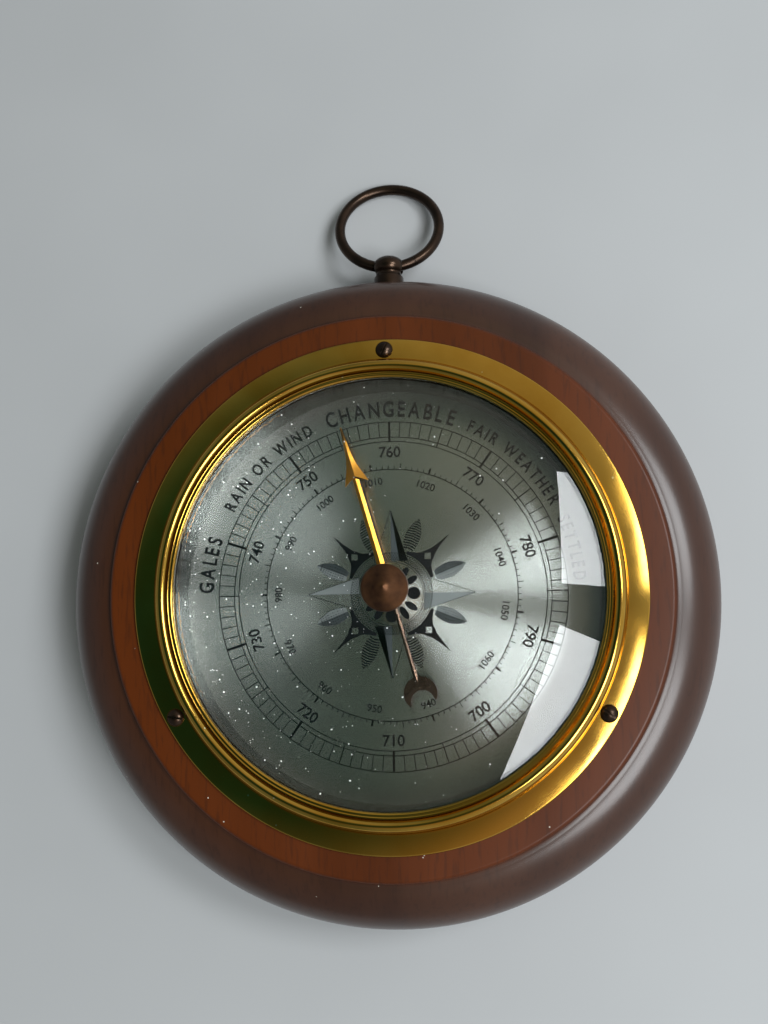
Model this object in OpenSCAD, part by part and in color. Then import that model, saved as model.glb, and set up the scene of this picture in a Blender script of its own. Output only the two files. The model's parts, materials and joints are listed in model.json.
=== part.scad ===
// Aneroid wall barometer, lying on its back.
// Origin at the centre of the flat back, +Z out of the dial, +Y toward the hanging ring.

/* [Wooden base] */
// Diameter of the turned wooden base
wood_d = 185; // [178:1:200]
// Height of the raised flat that the bezel lies on
wood_h = 32.4; // [32:0.2:36]
// Diameter of the raised flat
wood_flat_d = 156.4; // [150:0.4:160]
// Height of the step round the raised flat
wood_step = 2.2; // [1:0.1:4]
// Radius of the rounded shoulder of the raised flat
wood_shoulder = 1.4; // [0.6:0.1:1.8]
// Height at which the base is widest
wood_widest_z = 17; // [15:0.5:22]
// Diameter of the flat back
wood_back_d = 168; // [160:1:172]

/* [Case] */
// Thickness of the sheet metal of the case can
can_t = 0.8; // [0.6:0.1:1]
// Width of the flange at the mouth of the can
can_flange_w = 4.2; // [3:0.1:5]
// Diameter of the access hole in the back of the can
access_d = 10; // [8:0.5:12]

/* [Bezel] */
// Outer diameter of the bezel's flange
bezel_d = 141.5; // [139:0.5:145]
// Thickness of the flange at its outer edge
bezel_t = 0.8; // [0.6:0.1:1.2]
// How much the flange rises toward the bead
bezel_rise = 0.7; // [0.3:0.1:1]
// Width of the rounded bead
bead_w = 4.4; // [3.6:0.1:5]
// Height of the bead above the flange
bead_h = 3.4; // [3.2:0.1:4.4]
// Diameter of the opening in the bezel
window_d = 117.6; // [116:0.2:118]
// Number of bezel screws
bezel_screw_n = 3; // [3:1:6]
// Diameter of the circle of bezel screws
bezel_screw_pcd = 135; // [133.5:0.5:136]
// Diameter of a bezel screw's head
bezel_head_d = 5; // [4:0.1:5]
// Height of a bezel screw's head
bezel_head_h = 1.9; // [1.4:0.1:2.4]
// Diameter of a bezel screw's shank
bezel_shank_d = 2.4; // [2:0.1:2.8]
// Length of a bezel screw below its head
bezel_screw_len = 13; // [8:0.5:16]

/* [Glass] */
// Diameter of the domed glass
glass_d = 122.4; // [121.6:0.1:122.6]
// Thickness of the glass
glass_t = 2; // [1.6:0.1:2.2]
// Rise of the dome from its edge to its middle
glass_rise = 6.5; // [5.5:0.1:8]
// Thickness of the gasket under the glass
gasket_t = 1; // [0.6:0.1:1.2]

/* [Dial] */
// Diameter of the dial plate
dial_d = 118.4; // [118:0.1:118.8]
// Thickness of the dial plate
dial_t = 0.5; // [0.4:0.1:0.8]
// Height of the dial's face above the back
dial_z = 18; // [17.8:0.1:19]
// Diameter of the hole in the middle of the dial
dial_hole_d = 4; // [3:0.1:5]
// Thickness of the ring that holds the dial down
dial_ring_t = 0.4; // [0.3:0.05:0.5]
// Diameter of a dial post
dial_post_d = 4; // [3:0.2:5]
// Diameter of the circle of dial posts
dial_post_pcd = 98; // [90:1:106]

/* [Movement plate] */
// Diameter of the movement plate
plate_d = 72; // [70:1:80]
// Thickness of the movement plate
plate_t = 1.4; // [1:0.1:1.6]
// Diameter of the circle of movement screws
plate_screw_pcd = 62; // [58:1:64]
// Diameter of a movement screw's head
plate_head_d = 3.6; // [3:0.1:4]
// Height of a movement screw's head
plate_head_h = 0.8; // [0.6:0.1:1]
// Diameter of a movement screw's shank
plate_shank_d = 2; // [1.6:0.1:2.4]

/* [Capsule] */
// Diameter of the aneroid capsule
capsule_d = 36; // [30:0.5:37]
// Thickness of the capsule over its diaphragms
capsule_h = 5; // [4:0.1:5.2]
// Height of the capsule's foot above the movement plate
capsule_foot_h = 1.4; // [1.2:0.1:1.6]
// Distance of the capsule behind the pointer's axis
capsule_y = 12; // [11:0.1:13]
// Depth of the rings pressed into the diaphragms
corrugation = 0.35; // [0.2:0.05:0.5]
// Diameter of the post on the upper diaphragm
post_d = 3; // [2:0.1:4]

/* [Levers] */
// Distance from the lever's axle to the post it rests on
lever_short = 14; // [13:0.1:15]
// Distance from the lever's axle to the link
lever_long = 45; // [44:0.1:46]
// Height of the lever's axle
lever_z = 10.4; // [10.2:0.1:10.6]
// Width of the main lever
lever_w = 5; // [4:0.1:5.6]
// Thickness of the main lever
lever_t = 1; // [0.8:0.1:1.2]
// Diameter of the lever's axle and of the rocking shaft
axle_d = 1.6; // [1.2:0.1:1.8]
// Diameter of the small cross pins
pin_d = 0.8; // [0.6:0.05:0.9]
// Height of the rocking shaft
rocker_z = 5.2; // [5:0.1:5.4]
// Distance from the rocking shaft to the link
short_arm = 4; // [3.6:0.1:4.2]
// Height at which the chain runs
chain_z = 14; // [13.9:0.1:14.1]
// Diameter of the drum that the chain winds on
drum_d = 2.4; // [2:0.05:2.5]

/* [Pointer] */
// Diameter of the pointer's arbor
arbor_d = 1.6; // [1.4:0.05:1.8]
// Diameter of the arbor's lower pivot
pivot_d = 1; // [0.8:0.05:1.1]
// Half the distance between the pillars
pillar_x = 21; // [20.5:0.1:24]
// Diameter of a pillar
pillar_d = 3.6; // [3.2:0.1:4]
// Thickness of the cock under the arbor
cock_t = 0.7; // [0.5:0.05:0.75]
// Height of the cock's underside
cock_z = 12.3; // [12.2:0.05:12.35]
// Thickness of the bridge over the arbor
bridge_t = 0.8; // [0.6:0.05:0.85]
// Height of the bridge's underside
bridge_z = 15.9; // [15.8:0.05:15.95]
// Width of the cock and of the bridge
bridge_w = 7; // [6:0.1:8]
// Number of turns of the hairspring
hair_turns = 4; // [3:1:5]
// Distance from one turn of the hairspring to the next
hair_pitch = 1.1; // [0.9:0.05:1.2]
// Thickness of the hairspring's strip
hair_t = 0.25; // [0.15:0.05:0.3]

/* [Hands] */
// Angle of the two hands to the left of the top mark
reading = 15.8; // [0:0.1:30]
// Length of the indicating hand from its axis to its tip
hand_len = 49; // [44:0.5:52]
// Height of the indicating hand above the dial
hand_gap = 3.3; // [2.5:0.1:4]
// Distance from the axis to the middle of the crescent on the tail
crescent_y = 29.3; // [24:0.1:32]
// Outer diameter of the crescent
crescent_d = 9.5; // [8:0.1:11]
// Length of the set hand from its axis to its tip
set_len = 48.5; // [44:0.5:50]
// Height of the set hand above the dial
set_gap = 9; // [8:0.1:11]
// Length of the set hand's barbed head
barb_len = 14.2; // [10:0.1:16]
// Width of the set hand's barbed head
barb_w = 6.8; // [5:0.1:8]
// Diameter of the knob outside the glass
knob_d = 12.8; // [11:0.1:16]
// Height of the knob
knob_h = 6.4; // [5:0.1:8]
// Diameter of the knob's spindle
spindle_d = 3; // [2.4:0.1:3.4]

/* [Hanger] */
// Outer diameter of the hanging ring
ring_d = 34; // [30:0.5:37]
// Diameter of the ring's wire
ring_wire = 3.2; // [2.6:0.1:3.3]
// Diameter of the flattened ball that holds the ring
ball_d = 9.8; // [9.4:0.1:10.4]
// Height of the ball along its own axis
ball_len = 6.8; // [6.6:0.1:8]
// Height of the ball's middle above the back
eye_z = 11.5; // [11:0.1:13]
// Distance from the wood to the ball's middle
ball_gap = 7.2; // [7:0.1:8]
// Diameter of the eye's shank in the wood
eye_shank_d = 3; // [2.6:0.1:3.4]
// Length of the eye's shank in the wood
eye_shank_l = 14; // [10:0.5:16]

/* [Fits] */
// Radial clearance of a shaft that turns in its hole
running = 0.05; // [0.03:0.01:0.08]
// Clearance between pieces that only lie together
slip = 0.2; // [0.1:0.05:0.3]
// Clearance of a fixed piece in its hole
seat = 0.02; // [0.01:0.01:0.04]

/* [Hidden] */
$fn = 96;
arc_n = 24;
cut = 1;

// Case radii and heights
wood_r = wood_d / 2;
flat_r = wood_flat_d / 2;
back_r = wood_back_d / 2;
step_z = wood_h - wood_step;
can_in_r = dial_d / 2 + slip;
can_out_r = can_in_r + can_t;
can_flange_r = can_out_r + can_flange_w;
can_top_z = wood_h;
rebate_z = wood_h - can_t;
bezel_r = bezel_d / 2;
window_r = window_d / 2;
flange_top_z = wood_h + bezel_t;
bead_foot_z = flange_top_z + bezel_rise;
lip_w = 1.4;
bead_in_r = window_r + lip_w;
bead_c_r = bead_in_r + bead_w / 2;
bead_out_r = bead_in_r + bead_w;
glass_r = glass_d / 2;
glass_edge_z = wood_h + gasket_t;
dome_r = (glass_r * glass_r + glass_rise * glass_rise) / (2 * glass_rise);
glass_in_top = glass_edge_z + glass_rise;
glass_top = glass_in_top + glass_t;
lip_z = dome_z(window_r) + glass_t + slip / 2;
screw_seat_z = flange_top_z + 0.2;

// Movement heights
plate_z = can_t;
plate_top = plate_z + plate_t;
capsule_z = plate_top + capsule_foot_h;
capsule_top = capsule_z + capsule_h;
capsule_t = 0.3;
capsule_in_r = capsule_d / 2 * 0.84;
lever_low = lever_z - lever_t / 2;
axle_r = axle_d / 2;
pin_r = pin_d / 2;
pivot_y = -capsule_y - lever_short;
link_y = pivot_y + lever_long;
rocker_y = link_y + short_arm;
long_arm_l = chain_z - rocker_z;
drum_r = drum_d / 2;
drum_h = 1.4;
drum_rim_r = drum_r + 0.6;
drum_rim_t = 0.2;
cock_top = cock_z + cock_t;
bridge_top = bridge_z + bridge_t;
bridge_screw_d = 1.5;
bridge_head_d = 3;
bridge_head_h = 0.5;

// Travel of the pointer, to the right and to the left of its rest angle, and what follows it
hand_right = 108 + reading + 1.2;
hand_left = 216 - reading - 1.2;
rocker_ratio = drum_r / long_arm_l;
rocker_left = hand_left * rocker_ratio;
link_up = short_arm * rocker_left * PI / 180;

// Levers across the movement
bracket_t = 1;
bracket_w = 6;
bracket_gap = 0.6;
bracket_x = sqrt(pow(capsule_d / 2 + bracket_gap, 2) - pow(lever_short - bracket_w / 2, 2));
lever_axle_l = 2 * (bracket_x + bracket_t + 1);
link_x = lever_w / 2 + 0.4;
link_t = 0.5;
link_w = 3;
slot_y = pin_r + short_arm * (1 - cos(rocker_left)) + 0.1;
slot_z = pin_r + 0.14;
short_arm_x = link_x + link_t + 0.35;
short_arm_t = 0.6;
long_arm_w = 1.2;
long_arm_t = 0.5;
chain_gap = 0.12;
chain_t = 0.14;
chain_x = drum_r + chain_gap + chain_t / 2;
rocker_x0 = -7;
rocker_x1 = 10;
rocker_ears = [-5, 8];
ear_t = 0.8;

// Hairspring
collet_r = 1.4;
hair_z = 15.05;
hair_h = 0.45;
hair_in_r = collet_r + 0.3;
hair_out_r = hair_in_r + hair_turns * hair_pitch;

// Hands and knob
hand_z = dial_z + hand_gap;
hand_t = 0.3;
arbor_top = hand_z + 1.2;
set_z = dial_z + set_gap;
set_t = 0.4;
set_hub_h = 2;
spindle_r = spindle_d / 2;
washer_t = 0.6;
knob_z = glass_top + slip + washer_t;

// Hanger
ring_wire_r = ring_wire / 2;
ring_c_r = ring_d / 2 - ring_wire_r;
ball_r = ball_d / 2;
ball_y = wood_r + ball_gap;
ring_lean = asin((eye_z - ring_wire_r) / (2 * ring_c_r));
ring_sag = ring_c_r - sqrt(ring_c_r * ring_c_r - 0.81 * ball_r * ball_r);
eye_hole_r = ring_wire_r + ring_sag + 0.15;
collar_r = 4.5;
neck_r = 3.9;

function arc(cx, cy, a, b, t0, t1, n = arc_n) =
    [for (i = [0:n]) let(t = t0 + (t1 - t0) * i / n) [cx + a * cos(t), cy + b * sin(t)]];
// Height of the glass's inner face at a distance from the axis
function dome_z(r) = glass_in_top - dome_r + sqrt(dome_r * dome_r - r * r);
function dome_line(n, r0, r1, lift) =
    [for (i = [0:n]) let(r = r0 + (r1 - r0) * i / n) [r, dome_z(r) + lift]];

module turned(points) {
    rotate_extrude($fn = 180) polygon(points);
}

module tube(r_out, r_in, z0, z1) {
    translate([0, 0, z0]) difference() {
        cylinder(r = r_out, h = z1 - z0);
        translate([0, 0, -cut]) cylinder(r = r_in, h = z1 - z0 + 2 * cut);
    }
}

module rod_x(r, x0, x1) {
    translate([x0, 0, 0]) rotate([0, 90, 0]) cylinder(r = r, h = x1 - x0, $fn = 48);
}

module round_about(n, r, first = 90) {
    for (i = [0:n - 1]) rotate(first - i * 360 / n) translate([r, 0, 0]) children();
}

module wood_base() {
    color([0.28, 0.12, 0.06]) difference() {
        turned(concat(
            [[can_out_r + slip, 0], [can_out_r + slip, rebate_z], [can_flange_r + slip, rebate_z],
             [can_flange_r + slip, wood_h]],
            arc(flat_r - wood_shoulder, wood_h - wood_shoulder, wood_shoulder, wood_shoulder, 90, 0, 8),
            arc(flat_r, wood_widest_z, wood_r - flat_r, step_z - wood_widest_z, 90, 0),
            arc(back_r, wood_widest_z, wood_r - back_r, wood_widest_z, 0, -90, 12)));
        round_about(bezel_screw_n, bezel_screw_pcd / 2)
            translate([0, 0, screw_seat_z - bezel_screw_len - cut])
                cylinder(d = bezel_shank_d + 2 * running, h = bezel_screw_len + 2 * cut, $fn = 48);
        translate([0, wood_r - eye_shank_l - cut, eye_z]) rotate([-90, 0, 0])
            cylinder(d = eye_shank_d + 2 * running, h = eye_shank_l + 2 * cut, $fn = 48);
    }
}

module case_can() {
    color([0.72, 0.72, 0.7]) difference() {
        turned([[0, 0], [can_out_r, 0], [can_out_r, rebate_z], [can_flange_r, rebate_z],
                [can_flange_r, can_top_z], [can_in_r, can_top_z], [can_in_r, can_t], [0, can_t]]);
        translate([0, -capsule_y, -cut]) cylinder(d = access_d, h = can_t + 2 * cut);
        round_about(3, plate_screw_pcd / 2, -90)
            translate([0, 0, -cut]) cylinder(d = plate_shank_d + 2 * running, h = can_t + 2 * cut, $fn = 48);
    }
}

module bezel() {
    sheet = 0.8;
    color([0.78, 0.6, 0.22]) difference() {
        turned(concat(
            [[bezel_r, wood_h], [bezel_r, flange_top_z - 0.2], [bezel_r - 0.2, flange_top_z],
             [bead_out_r + 0.3, bead_foot_z], [bead_out_r + 0.1, bead_foot_z - 0.15]],
            arc(bead_c_r, bead_foot_z, bead_w / 2, bead_h, 0, 150),
            [[bead_in_r - 0.2, lip_z + 1.2], [window_r + 0.3, lip_z + 0.9], [window_r, lip_z + 0.5],
             [window_r, lip_z], [bead_in_r + 0.6, lip_z]],
            arc(bead_c_r, bead_foot_z, bead_w / 2 - sheet, bead_h - sheet, 120, 0, 12),
            [[bead_out_r - sheet, wood_h]]));
        round_about(bezel_screw_n, bezel_screw_pcd / 2) {
            translate([0, 0, wood_h - cut])
                cylinder(d = bezel_shank_d + 0.6, h = bezel_t + 2 * cut, $fn = 48);
            translate([0, 0, screw_seat_z]) cylinder(d = bezel_head_d + 0.1, h = 2 * cut, $fn = 64);
        }
    }
}

module bezel_screw() {
    slot_w = 0.6;
    slot_d = 0.8;
    difference() {
        union() {
            translate([0, 0, -bezel_screw_len])
                cylinder(d = bezel_shank_d, h = bezel_screw_len + 0.1, $fn = 48);
            rotate_extrude($fn = 64) polygon(concat(
                [[0, 0]], arc(0, 0, bezel_head_d / 2, bezel_head_h, 0, 90, 12)));
        }
        translate([-bezel_head_d, -slot_w / 2, bezel_head_h - slot_d])
            cube([2 * bezel_head_d, slot_w, 2 * slot_d]);
    }
}

module bezel_screws() {
    slot_turn = 47;
    color([0.22, 0.15, 0.1])
        for (i = [0:bezel_screw_n - 1]) rotate(90 - i * 360 / bezel_screw_n)
            translate([bezel_screw_pcd / 2, 0, screw_seat_z]) rotate(30 + i * slot_turn) bezel_screw();
}

module glass() {
    color([0.8, 0.9, 0.9, 0.3]) turned(concat(
        dome_line(arc_n, spindle_r + running, glass_r, 0),
        dome_line(arc_n, glass_r, spindle_r + running, glass_t)));
}

module glass_gasket() {
    color([0.1, 0.1, 0.1])
        tube(bead_out_r - 0.8 - slip, can_in_r + slip, can_top_z, glass_edge_z);
}

module dial_ring() {
    color([0.75, 0.6, 0.3])
        tube(can_in_r - slip / 2, can_in_r - slip / 2 - dial_ring_t, dial_z, can_top_z);
}

module dial_plate() {
    color([0.75, 0.77, 0.76]) tube(dial_d / 2, dial_hole_d / 2, dial_z - dial_t, dial_z);
}

module dial_posts() {
    color([0.7, 0.6, 0.35]) round_about(3, dial_post_pcd / 2)
        translate([0, 0, can_t]) cylinder(d = dial_post_d, h = dial_z - dial_t - can_t, $fn = 48);
}

module movement_plate() {
    color([0.72, 0.58, 0.3]) difference() {
        translate([0, 0, plate_z]) cylinder(d = plate_d, h = plate_t);
        round_about(3, plate_screw_pcd / 2, -90) translate([0, 0, plate_z - cut])
            cylinder(d = plate_shank_d + 2 * running, h = plate_t + 2 * cut, $fn = 48);
        translate([0, -capsule_y, plate_z - cut])
            cylinder(d = 3 + 2 * running, h = plate_t + 2 * cut, $fn = 48);
        for (x = [-pillar_x, pillar_x]) translate([x, 0, plate_z - cut])
            cylinder(d = 2 + 2 * seat, h = plate_t + 2 * cut, $fn = 48);
    }
}

module movement_screws() {
    color([0.55, 0.5, 0.42]) round_about(3, plate_screw_pcd / 2, -90) difference() {
        union() {
            translate([0, 0, 0.1]) cylinder(d = plate_shank_d, h = plate_top, $fn = 48);
            translate([0, 0, plate_top]) cylinder(d = plate_head_d, h = plate_head_h, $fn = 48);
        }
        translate([-plate_head_d, -0.25, plate_top + plate_head_h / 2]) cube([2 * plate_head_d, 0.5, 1]);
    }
}

// Radii of the pressed rings, from the middle to the rim
function wave(z, up) =
    [for (i = [0:8]) let(r = capsule_d / 2 * (0.22 + 0.08 * i)) [r, z + up * corrugation * (i % 2)]];

module capsule_lower() {
    r = capsule_d / 2;
    mid = capsule_z + capsule_h / 2;
    color([0.7, 0.68, 0.62]) translate([0, -capsule_y, 0]) difference() {
        turned(concat(
            [[0, plate_top + 0.6], [2, plate_top + 0.6], [2, plate_top], [4, plate_top], [4, capsule_z]],
            [for (p = wave(capsule_z, 1)) if (p[0] > 4) p],
            [[r * 0.93, mid - 0.6], [r, mid - 0.3], [r, mid], [0, mid]]));
        translate([0, 0, capsule_z + corrugation + capsule_t])
            cylinder(r = capsule_in_r, h = capsule_h, $fn = 180);
    }
}

module capsule_upper() {
    r = capsule_d / 2;
    mid = capsule_z + capsule_h / 2;
    waves = wave(capsule_top, -1);
    color([0.74, 0.72, 0.66]) translate([0, -capsule_y, 0]) difference() {
        turned(concat(
            [[0, mid], [r, mid], [r, mid + 0.3], [r * 0.93, mid + 0.6]],
            [for (i = [8:-1:0]) waves[i]],
            [[0, capsule_top]]));
        translate([0, 0, capsule_z]) cylinder(r = capsule_in_r, h = capsule_h - corrugation - capsule_t, $fn = 180);
    }
}

module capsule_post() {
    gap = 0.08;
    top = lever_low - 0.12;
    color([0.75, 0.6, 0.3]) translate([0, -capsule_y, capsule_top + gap])
        cylinder(d = post_d, h = top - capsule_top - gap, $fn = 48);
}

module lever_brackets() {
    color([0.72, 0.58, 0.3]) for (s = [-1, 1]) difference() {
        union() {
            translate([s * (bracket_x + bracket_t / 2) - bracket_t / 2, pivot_y - bracket_w / 2, plate_top])
                cube([bracket_t, bracket_w, lever_z + axle_r + 0.8 - plate_top]);
            translate([s * (bracket_x + 2) - 2, pivot_y - bracket_w / 2, plate_top])
                cube([4, bracket_w, 0.8]);
        }
        translate([0, pivot_y, lever_z]) rod_x(axle_r + running, -bracket_x - 3, bracket_x + 3);
    }
}

module main_lever() {
    tip = link_y + 0.9;
    color([0.62, 0.6, 0.55]) difference() {
        union() {
            translate([-lever_w / 2, pivot_y, lever_low]) cube([lever_w, tip - pivot_y, lever_t]);
            translate([0, pivot_y, lever_z]) rod_x(axle_r + 0.9, -lever_w / 2, lever_w / 2);
            translate([0, link_y, lever_z]) rod_x(pin_r, 0, link_x + link_t + 0.2);
        }
        translate([0, pivot_y, lever_z]) rod_x(axle_r + seat, -lever_w, lever_w);
    }
}

module lever_axle() {
    color([0.6, 0.6, 0.6]) translate([0, pivot_y, lever_z])
        rod_x(axle_r, -lever_axle_l / 2, lever_axle_l / 2);
}

module link_rod() {
    color([0.6, 0.6, 0.6]) difference() {
        hull_low = rocker_z - slot_z - 0.5;
        translate([link_x, link_y - link_w / 2, hull_low])
            cube([link_t, link_w, lever_z + pin_r + 0.7 - hull_low]);
        translate([0, link_y, lever_z]) rod_x(pin_r + running + 0.05, link_x - cut, link_x + link_t + cut);
        translate([link_x - cut, link_y - slot_y, rocker_z - slot_z])
            cube([link_t + 2 * cut, 2 * slot_y, 2 * slot_z]);
    }
}

module rocking_brackets() {
    color([0.72, 0.58, 0.3]) for (x = rocker_ears) difference() {
        translate([x - ear_t / 2, rocker_y - 2, plate_top])
            cube([ear_t, 4, rocker_z + axle_r + 0.9 - plate_top]);
        translate([0, rocker_y, rocker_z]) rod_x(axle_r + running, x - 2, x + 2);
    }
}

module rocking_shaft() {
    color([0.6, 0.6, 0.6]) translate([0, rocker_y, rocker_z]) rod_x(axle_r, rocker_x0, rocker_x1);
}

module arm_boss(x, t) {
    translate([x, 0, 0]) rod_x(axle_r + 0.7, 0, t);
}

module long_arm() {
    x = chain_x - long_arm_t / 2;
    color([0.7, 0.56, 0.3]) translate([0, rocker_y, rocker_z]) difference() {
        union() {
            arm_boss(x, long_arm_t);
            translate([x, -long_arm_w / 2, 0]) cube([long_arm_t, long_arm_w, long_arm_l + 0.5]);
        }
        rod_x(axle_r + seat, x - cut, x + long_arm_t + cut);
    }
}

module short_arm_plate() {
    x = short_arm_x;
    color([0.7, 0.56, 0.3]) translate([0, rocker_y, rocker_z]) difference() {
        union() {
            arm_boss(x, short_arm_t);
            translate([x, -short_arm - 0.6, -0.6]) cube([short_arm_t, short_arm, 1.2]);
            translate([0, -short_arm, 0]) rod_x(pin_r, link_x - 0.15, x + 0.1);
        }
        rod_x(axle_r + seat, x - cut, x + short_arm_t + cut);
    }
}

module fine_chain() {
    pitch = 1.2;
    end_y = rocker_y - long_arm_w / 2 - 0.1;
    links = floor((end_y - 0.6) / pitch);
    wrap = 150;
    color([0.5, 0.5, 0.5]) translate([0, 0, chain_z]) {
        translate([chain_x - chain_t / 2, 0, -0.25]) cube([chain_t, end_y, 0.5]);
        for (i = [0:links - 1]) translate([chain_x, 0.6 + i * pitch, -0.35])
            cylinder(d = 0.24, h = 0.7, $fn = 16);
        rotate(-wrap) rotate_extrude(angle = wrap, $fn = 96)
            translate([chain_x - chain_t / 2, -0.25]) square([chain_t, 0.5]);
    }
}

module lower_pillars() {
    color([0.75, 0.6, 0.3]) for (x = [-pillar_x, pillar_x]) translate([x, 0, 0]) difference() {
        union() {
            translate([0, 0, plate_top]) cylinder(d = pillar_d, h = cock_z - plate_top, $fn = 48);
            translate([0, 0, plate_z + 0.1]) cylinder(d = 2, h = plate_t, $fn = 48);
        }
        translate([0, 0, cock_z - 4]) cylinder(d = bridge_screw_d + 2 * running, h = 4 + cut, $fn = 48);
    }
}

module cross_bar(z, t, hole) {
    difference() {
        translate([0, 0, z]) linear_extrude(height = t) union() {
            square([2 * pillar_x, bridge_w], center = true);
            for (x = [-pillar_x, pillar_x]) translate([x, 0]) circle(d = bridge_w, $fn = 64);
        }
        translate([0, 0, z - cut]) cylinder(d = hole, h = t + 2 * cut, $fn = 48);
        for (x = [-pillar_x, pillar_x]) translate([x, 0, z - cut])
            cylinder(d = bridge_screw_d + 2 * running, h = t + 2 * cut, $fn = 48);
    }
}

module arbor_cock() {
    color([0.72, 0.58, 0.3]) cross_bar(cock_z, cock_t, pivot_d + 2 * running);
}

module upper_pillars() {
    color([0.75, 0.6, 0.3]) for (x = [-pillar_x, pillar_x]) translate([x, 0, 0])
        tube(pillar_d / 2, bridge_screw_d / 2 + running, cock_top, bridge_z);
}

module arbor_bridge() {
    color([0.72, 0.58, 0.3]) cross_bar(bridge_z, bridge_t, arbor_d + 2 * running);
}

module bridge_screws() {
    low = cock_z - 3.5;
    color([0.5, 0.5, 0.52]) for (x = [-pillar_x, pillar_x]) translate([x, 0, 0]) difference() {
        union() {
            translate([0, 0, low]) cylinder(d = bridge_screw_d, h = bridge_top - low + 0.1, $fn = 48);
            translate([0, 0, bridge_top]) cylinder(d = bridge_head_d, h = bridge_head_h, $fn = 48);
        }
        translate([-bridge_head_d, -0.2, bridge_top + bridge_head_h - 0.25]) cube([2 * bridge_head_d, 0.4, 1]);
    }
}

module arbor() {
    color([0.6, 0.6, 0.62]) union() {
        translate([0, 0, cock_z + 0.05]) cylinder(d = pivot_d, h = cock_t + 0.2, $fn = 48);
        translate([0, 0, cock_top + 0.1]) cylinder(d = arbor_d, h = arbor_top - cock_top - 0.1, $fn = 48);
    }
}

module chain_drum() {
    low = chain_z - drum_h / 2;
    bore = arbor_d / 2 + seat;
    color([0.75, 0.6, 0.3]) difference() {
        union() {
            translate([0, 0, low]) cylinder(r = drum_r, h = hair_z + hair_h - low, $fn = 64);
            translate([0, 0, low - drum_rim_t]) cylinder(r = drum_rim_r, h = drum_rim_t, $fn = 64);
            translate([0, 0, low + drum_h]) cylinder(r = drum_rim_r, h = drum_rim_t, $fn = 64);
            translate([0, 0, hair_z]) cylinder(r = collet_r, h = hair_h, $fn = 64);
        }
        translate([0, 0, low - cut]) cylinder(r = bore, h = 2 * drum_h + 2 * cut, $fn = 48);
    }
}

// One side of the hairspring's spiral, at an offset from its middle line
function hair_line(side) =
    [for (i = [0:hair_turns * 24]) let(t = i * 15, r = hair_in_r + hair_pitch * t / 360 + side * hair_t / 2)
        [r * cos(t), r * sin(t)]];

module hairspring() {
    inner = hair_line(-1);
    outer = hair_line(1);
    n = len(inner) - 1;
    color([0.3, 0.35, 0.5]) translate([0, 0, hair_z]) linear_extrude(height = hair_h)
        polygon(concat(outer, [for (i = [n:-1:0]) inner[i]]));
    echo(least_gap = hair_pitch - hair_t);
}

module hairspring_stud() {
    color([0.7, 0.56, 0.3]) translate([hair_out_r + hair_t / 2, -0.8, hair_z])
        cube([1, 1.6, bridge_z - hair_z]);
}

module hand_collet() {
    color([0.55, 0.4, 0.2]) tube(1.9, arbor_d / 2 + seat, hand_z - 1, hand_z);
}

module indicating_hand() {
    shaft_w = 1.5;
    tail_w = 1.1;
    hub = 2.4;
    bite = 3.25;
    color([0.3, 0.2, 0.12]) rotate(reading) difference() {
        translate([0, 0, hand_z]) linear_extrude(height = hand_t) difference() {
            union() {
                polygon([[-shaft_w / 2, 0], [shaft_w / 2, 0], [shaft_w / 2, hand_len * 0.72], [0, hand_len],
                         [-shaft_w / 2, hand_len * 0.72]]);
                translate([-tail_w / 2, -crescent_y + bite - 0.6]) square([tail_w, crescent_y - bite + 0.6]);
                circle(r = hub, $fn = 64);
                translate([0, -crescent_y]) circle(d = crescent_d, $fn = 64);
            }
            translate([0, -crescent_y - crescent_d / 2 + bite - 0.9]) circle(r = bite, $fn = 64);
        }
        translate([0, 0, hand_z - cut]) cylinder(d = arbor_d + 2 * seat, h = hand_t + 2 * cut, $fn = 48);
    }
}

module set_knob() {
    r = knob_d / 2;
    blind = 3.4;
    color([0.4, 0.24, 0.14]) difference() {
        translate([0, 0, knob_z]) rotate_extrude($fn = 96) polygon([
            [0, 0], [r - 0.5, 0], [r, 0.5], [r, 1.3], [r - 0.35, 1.8], [r * 0.66, knob_h * 0.56],
            [r * 0.34, knob_h * 0.84], [r * 0.16, knob_h * 0.97], [0, knob_h]]);
        translate([0, 0, knob_z - cut]) cylinder(r = spindle_r + seat, h = blind + cut, $fn = 48);
    }
}

module set_spindle() {
    seated = 3.2;
    color([0.7, 0.56, 0.3]) translate([0, 0, set_z - 0.4])
        cylinder(r = spindle_r, h = knob_z + seated - set_z + 0.4, $fn = 48);
}

module knob_washer() {
    color([0.25, 0.2, 0.16]) tube(knob_d / 2 - 1.6, spindle_r + seat, glass_top + slip, knob_z);
}

module spindle_collar() {
    top = glass_in_top - slip;
    color([0.7, 0.56, 0.3]) tube(spindle_r + 1.2, spindle_r + seat, top - 1.6, top);
}

module set_hand() {
    shaft_w = 1.6;
    neck_y = set_len - barb_len;
    barb_back = 2.6;
    color([0.83, 0.6, 0.25]) rotate(reading) {
        difference() {
            union() {
                translate([0, 0, set_z]) linear_extrude(height = set_t) polygon([
                    [-shaft_w / 2 - 0.3, 0], [shaft_w / 2 + 0.3, 0], [shaft_w / 2, neck_y],
                    [barb_w / 2, neck_y - barb_back], [shaft_w / 2 + 0.1, neck_y + barb_len * 0.45],
                    [0.15, set_len], [-0.15, set_len], [-shaft_w / 2 - 0.1, neck_y + barb_len * 0.45],
                    [-barb_w / 2, neck_y - barb_back], [-shaft_w / 2, neck_y]]);
                translate([0, 0, set_z]) cylinder(r = spindle_r + 1.4, h = set_hub_h, $fn = 64);
            }
            translate([0, 0, set_z - cut]) cylinder(r = spindle_r + seat, h = set_hub_h + 2 * cut, $fn = 48);
        }
    }
}

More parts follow.
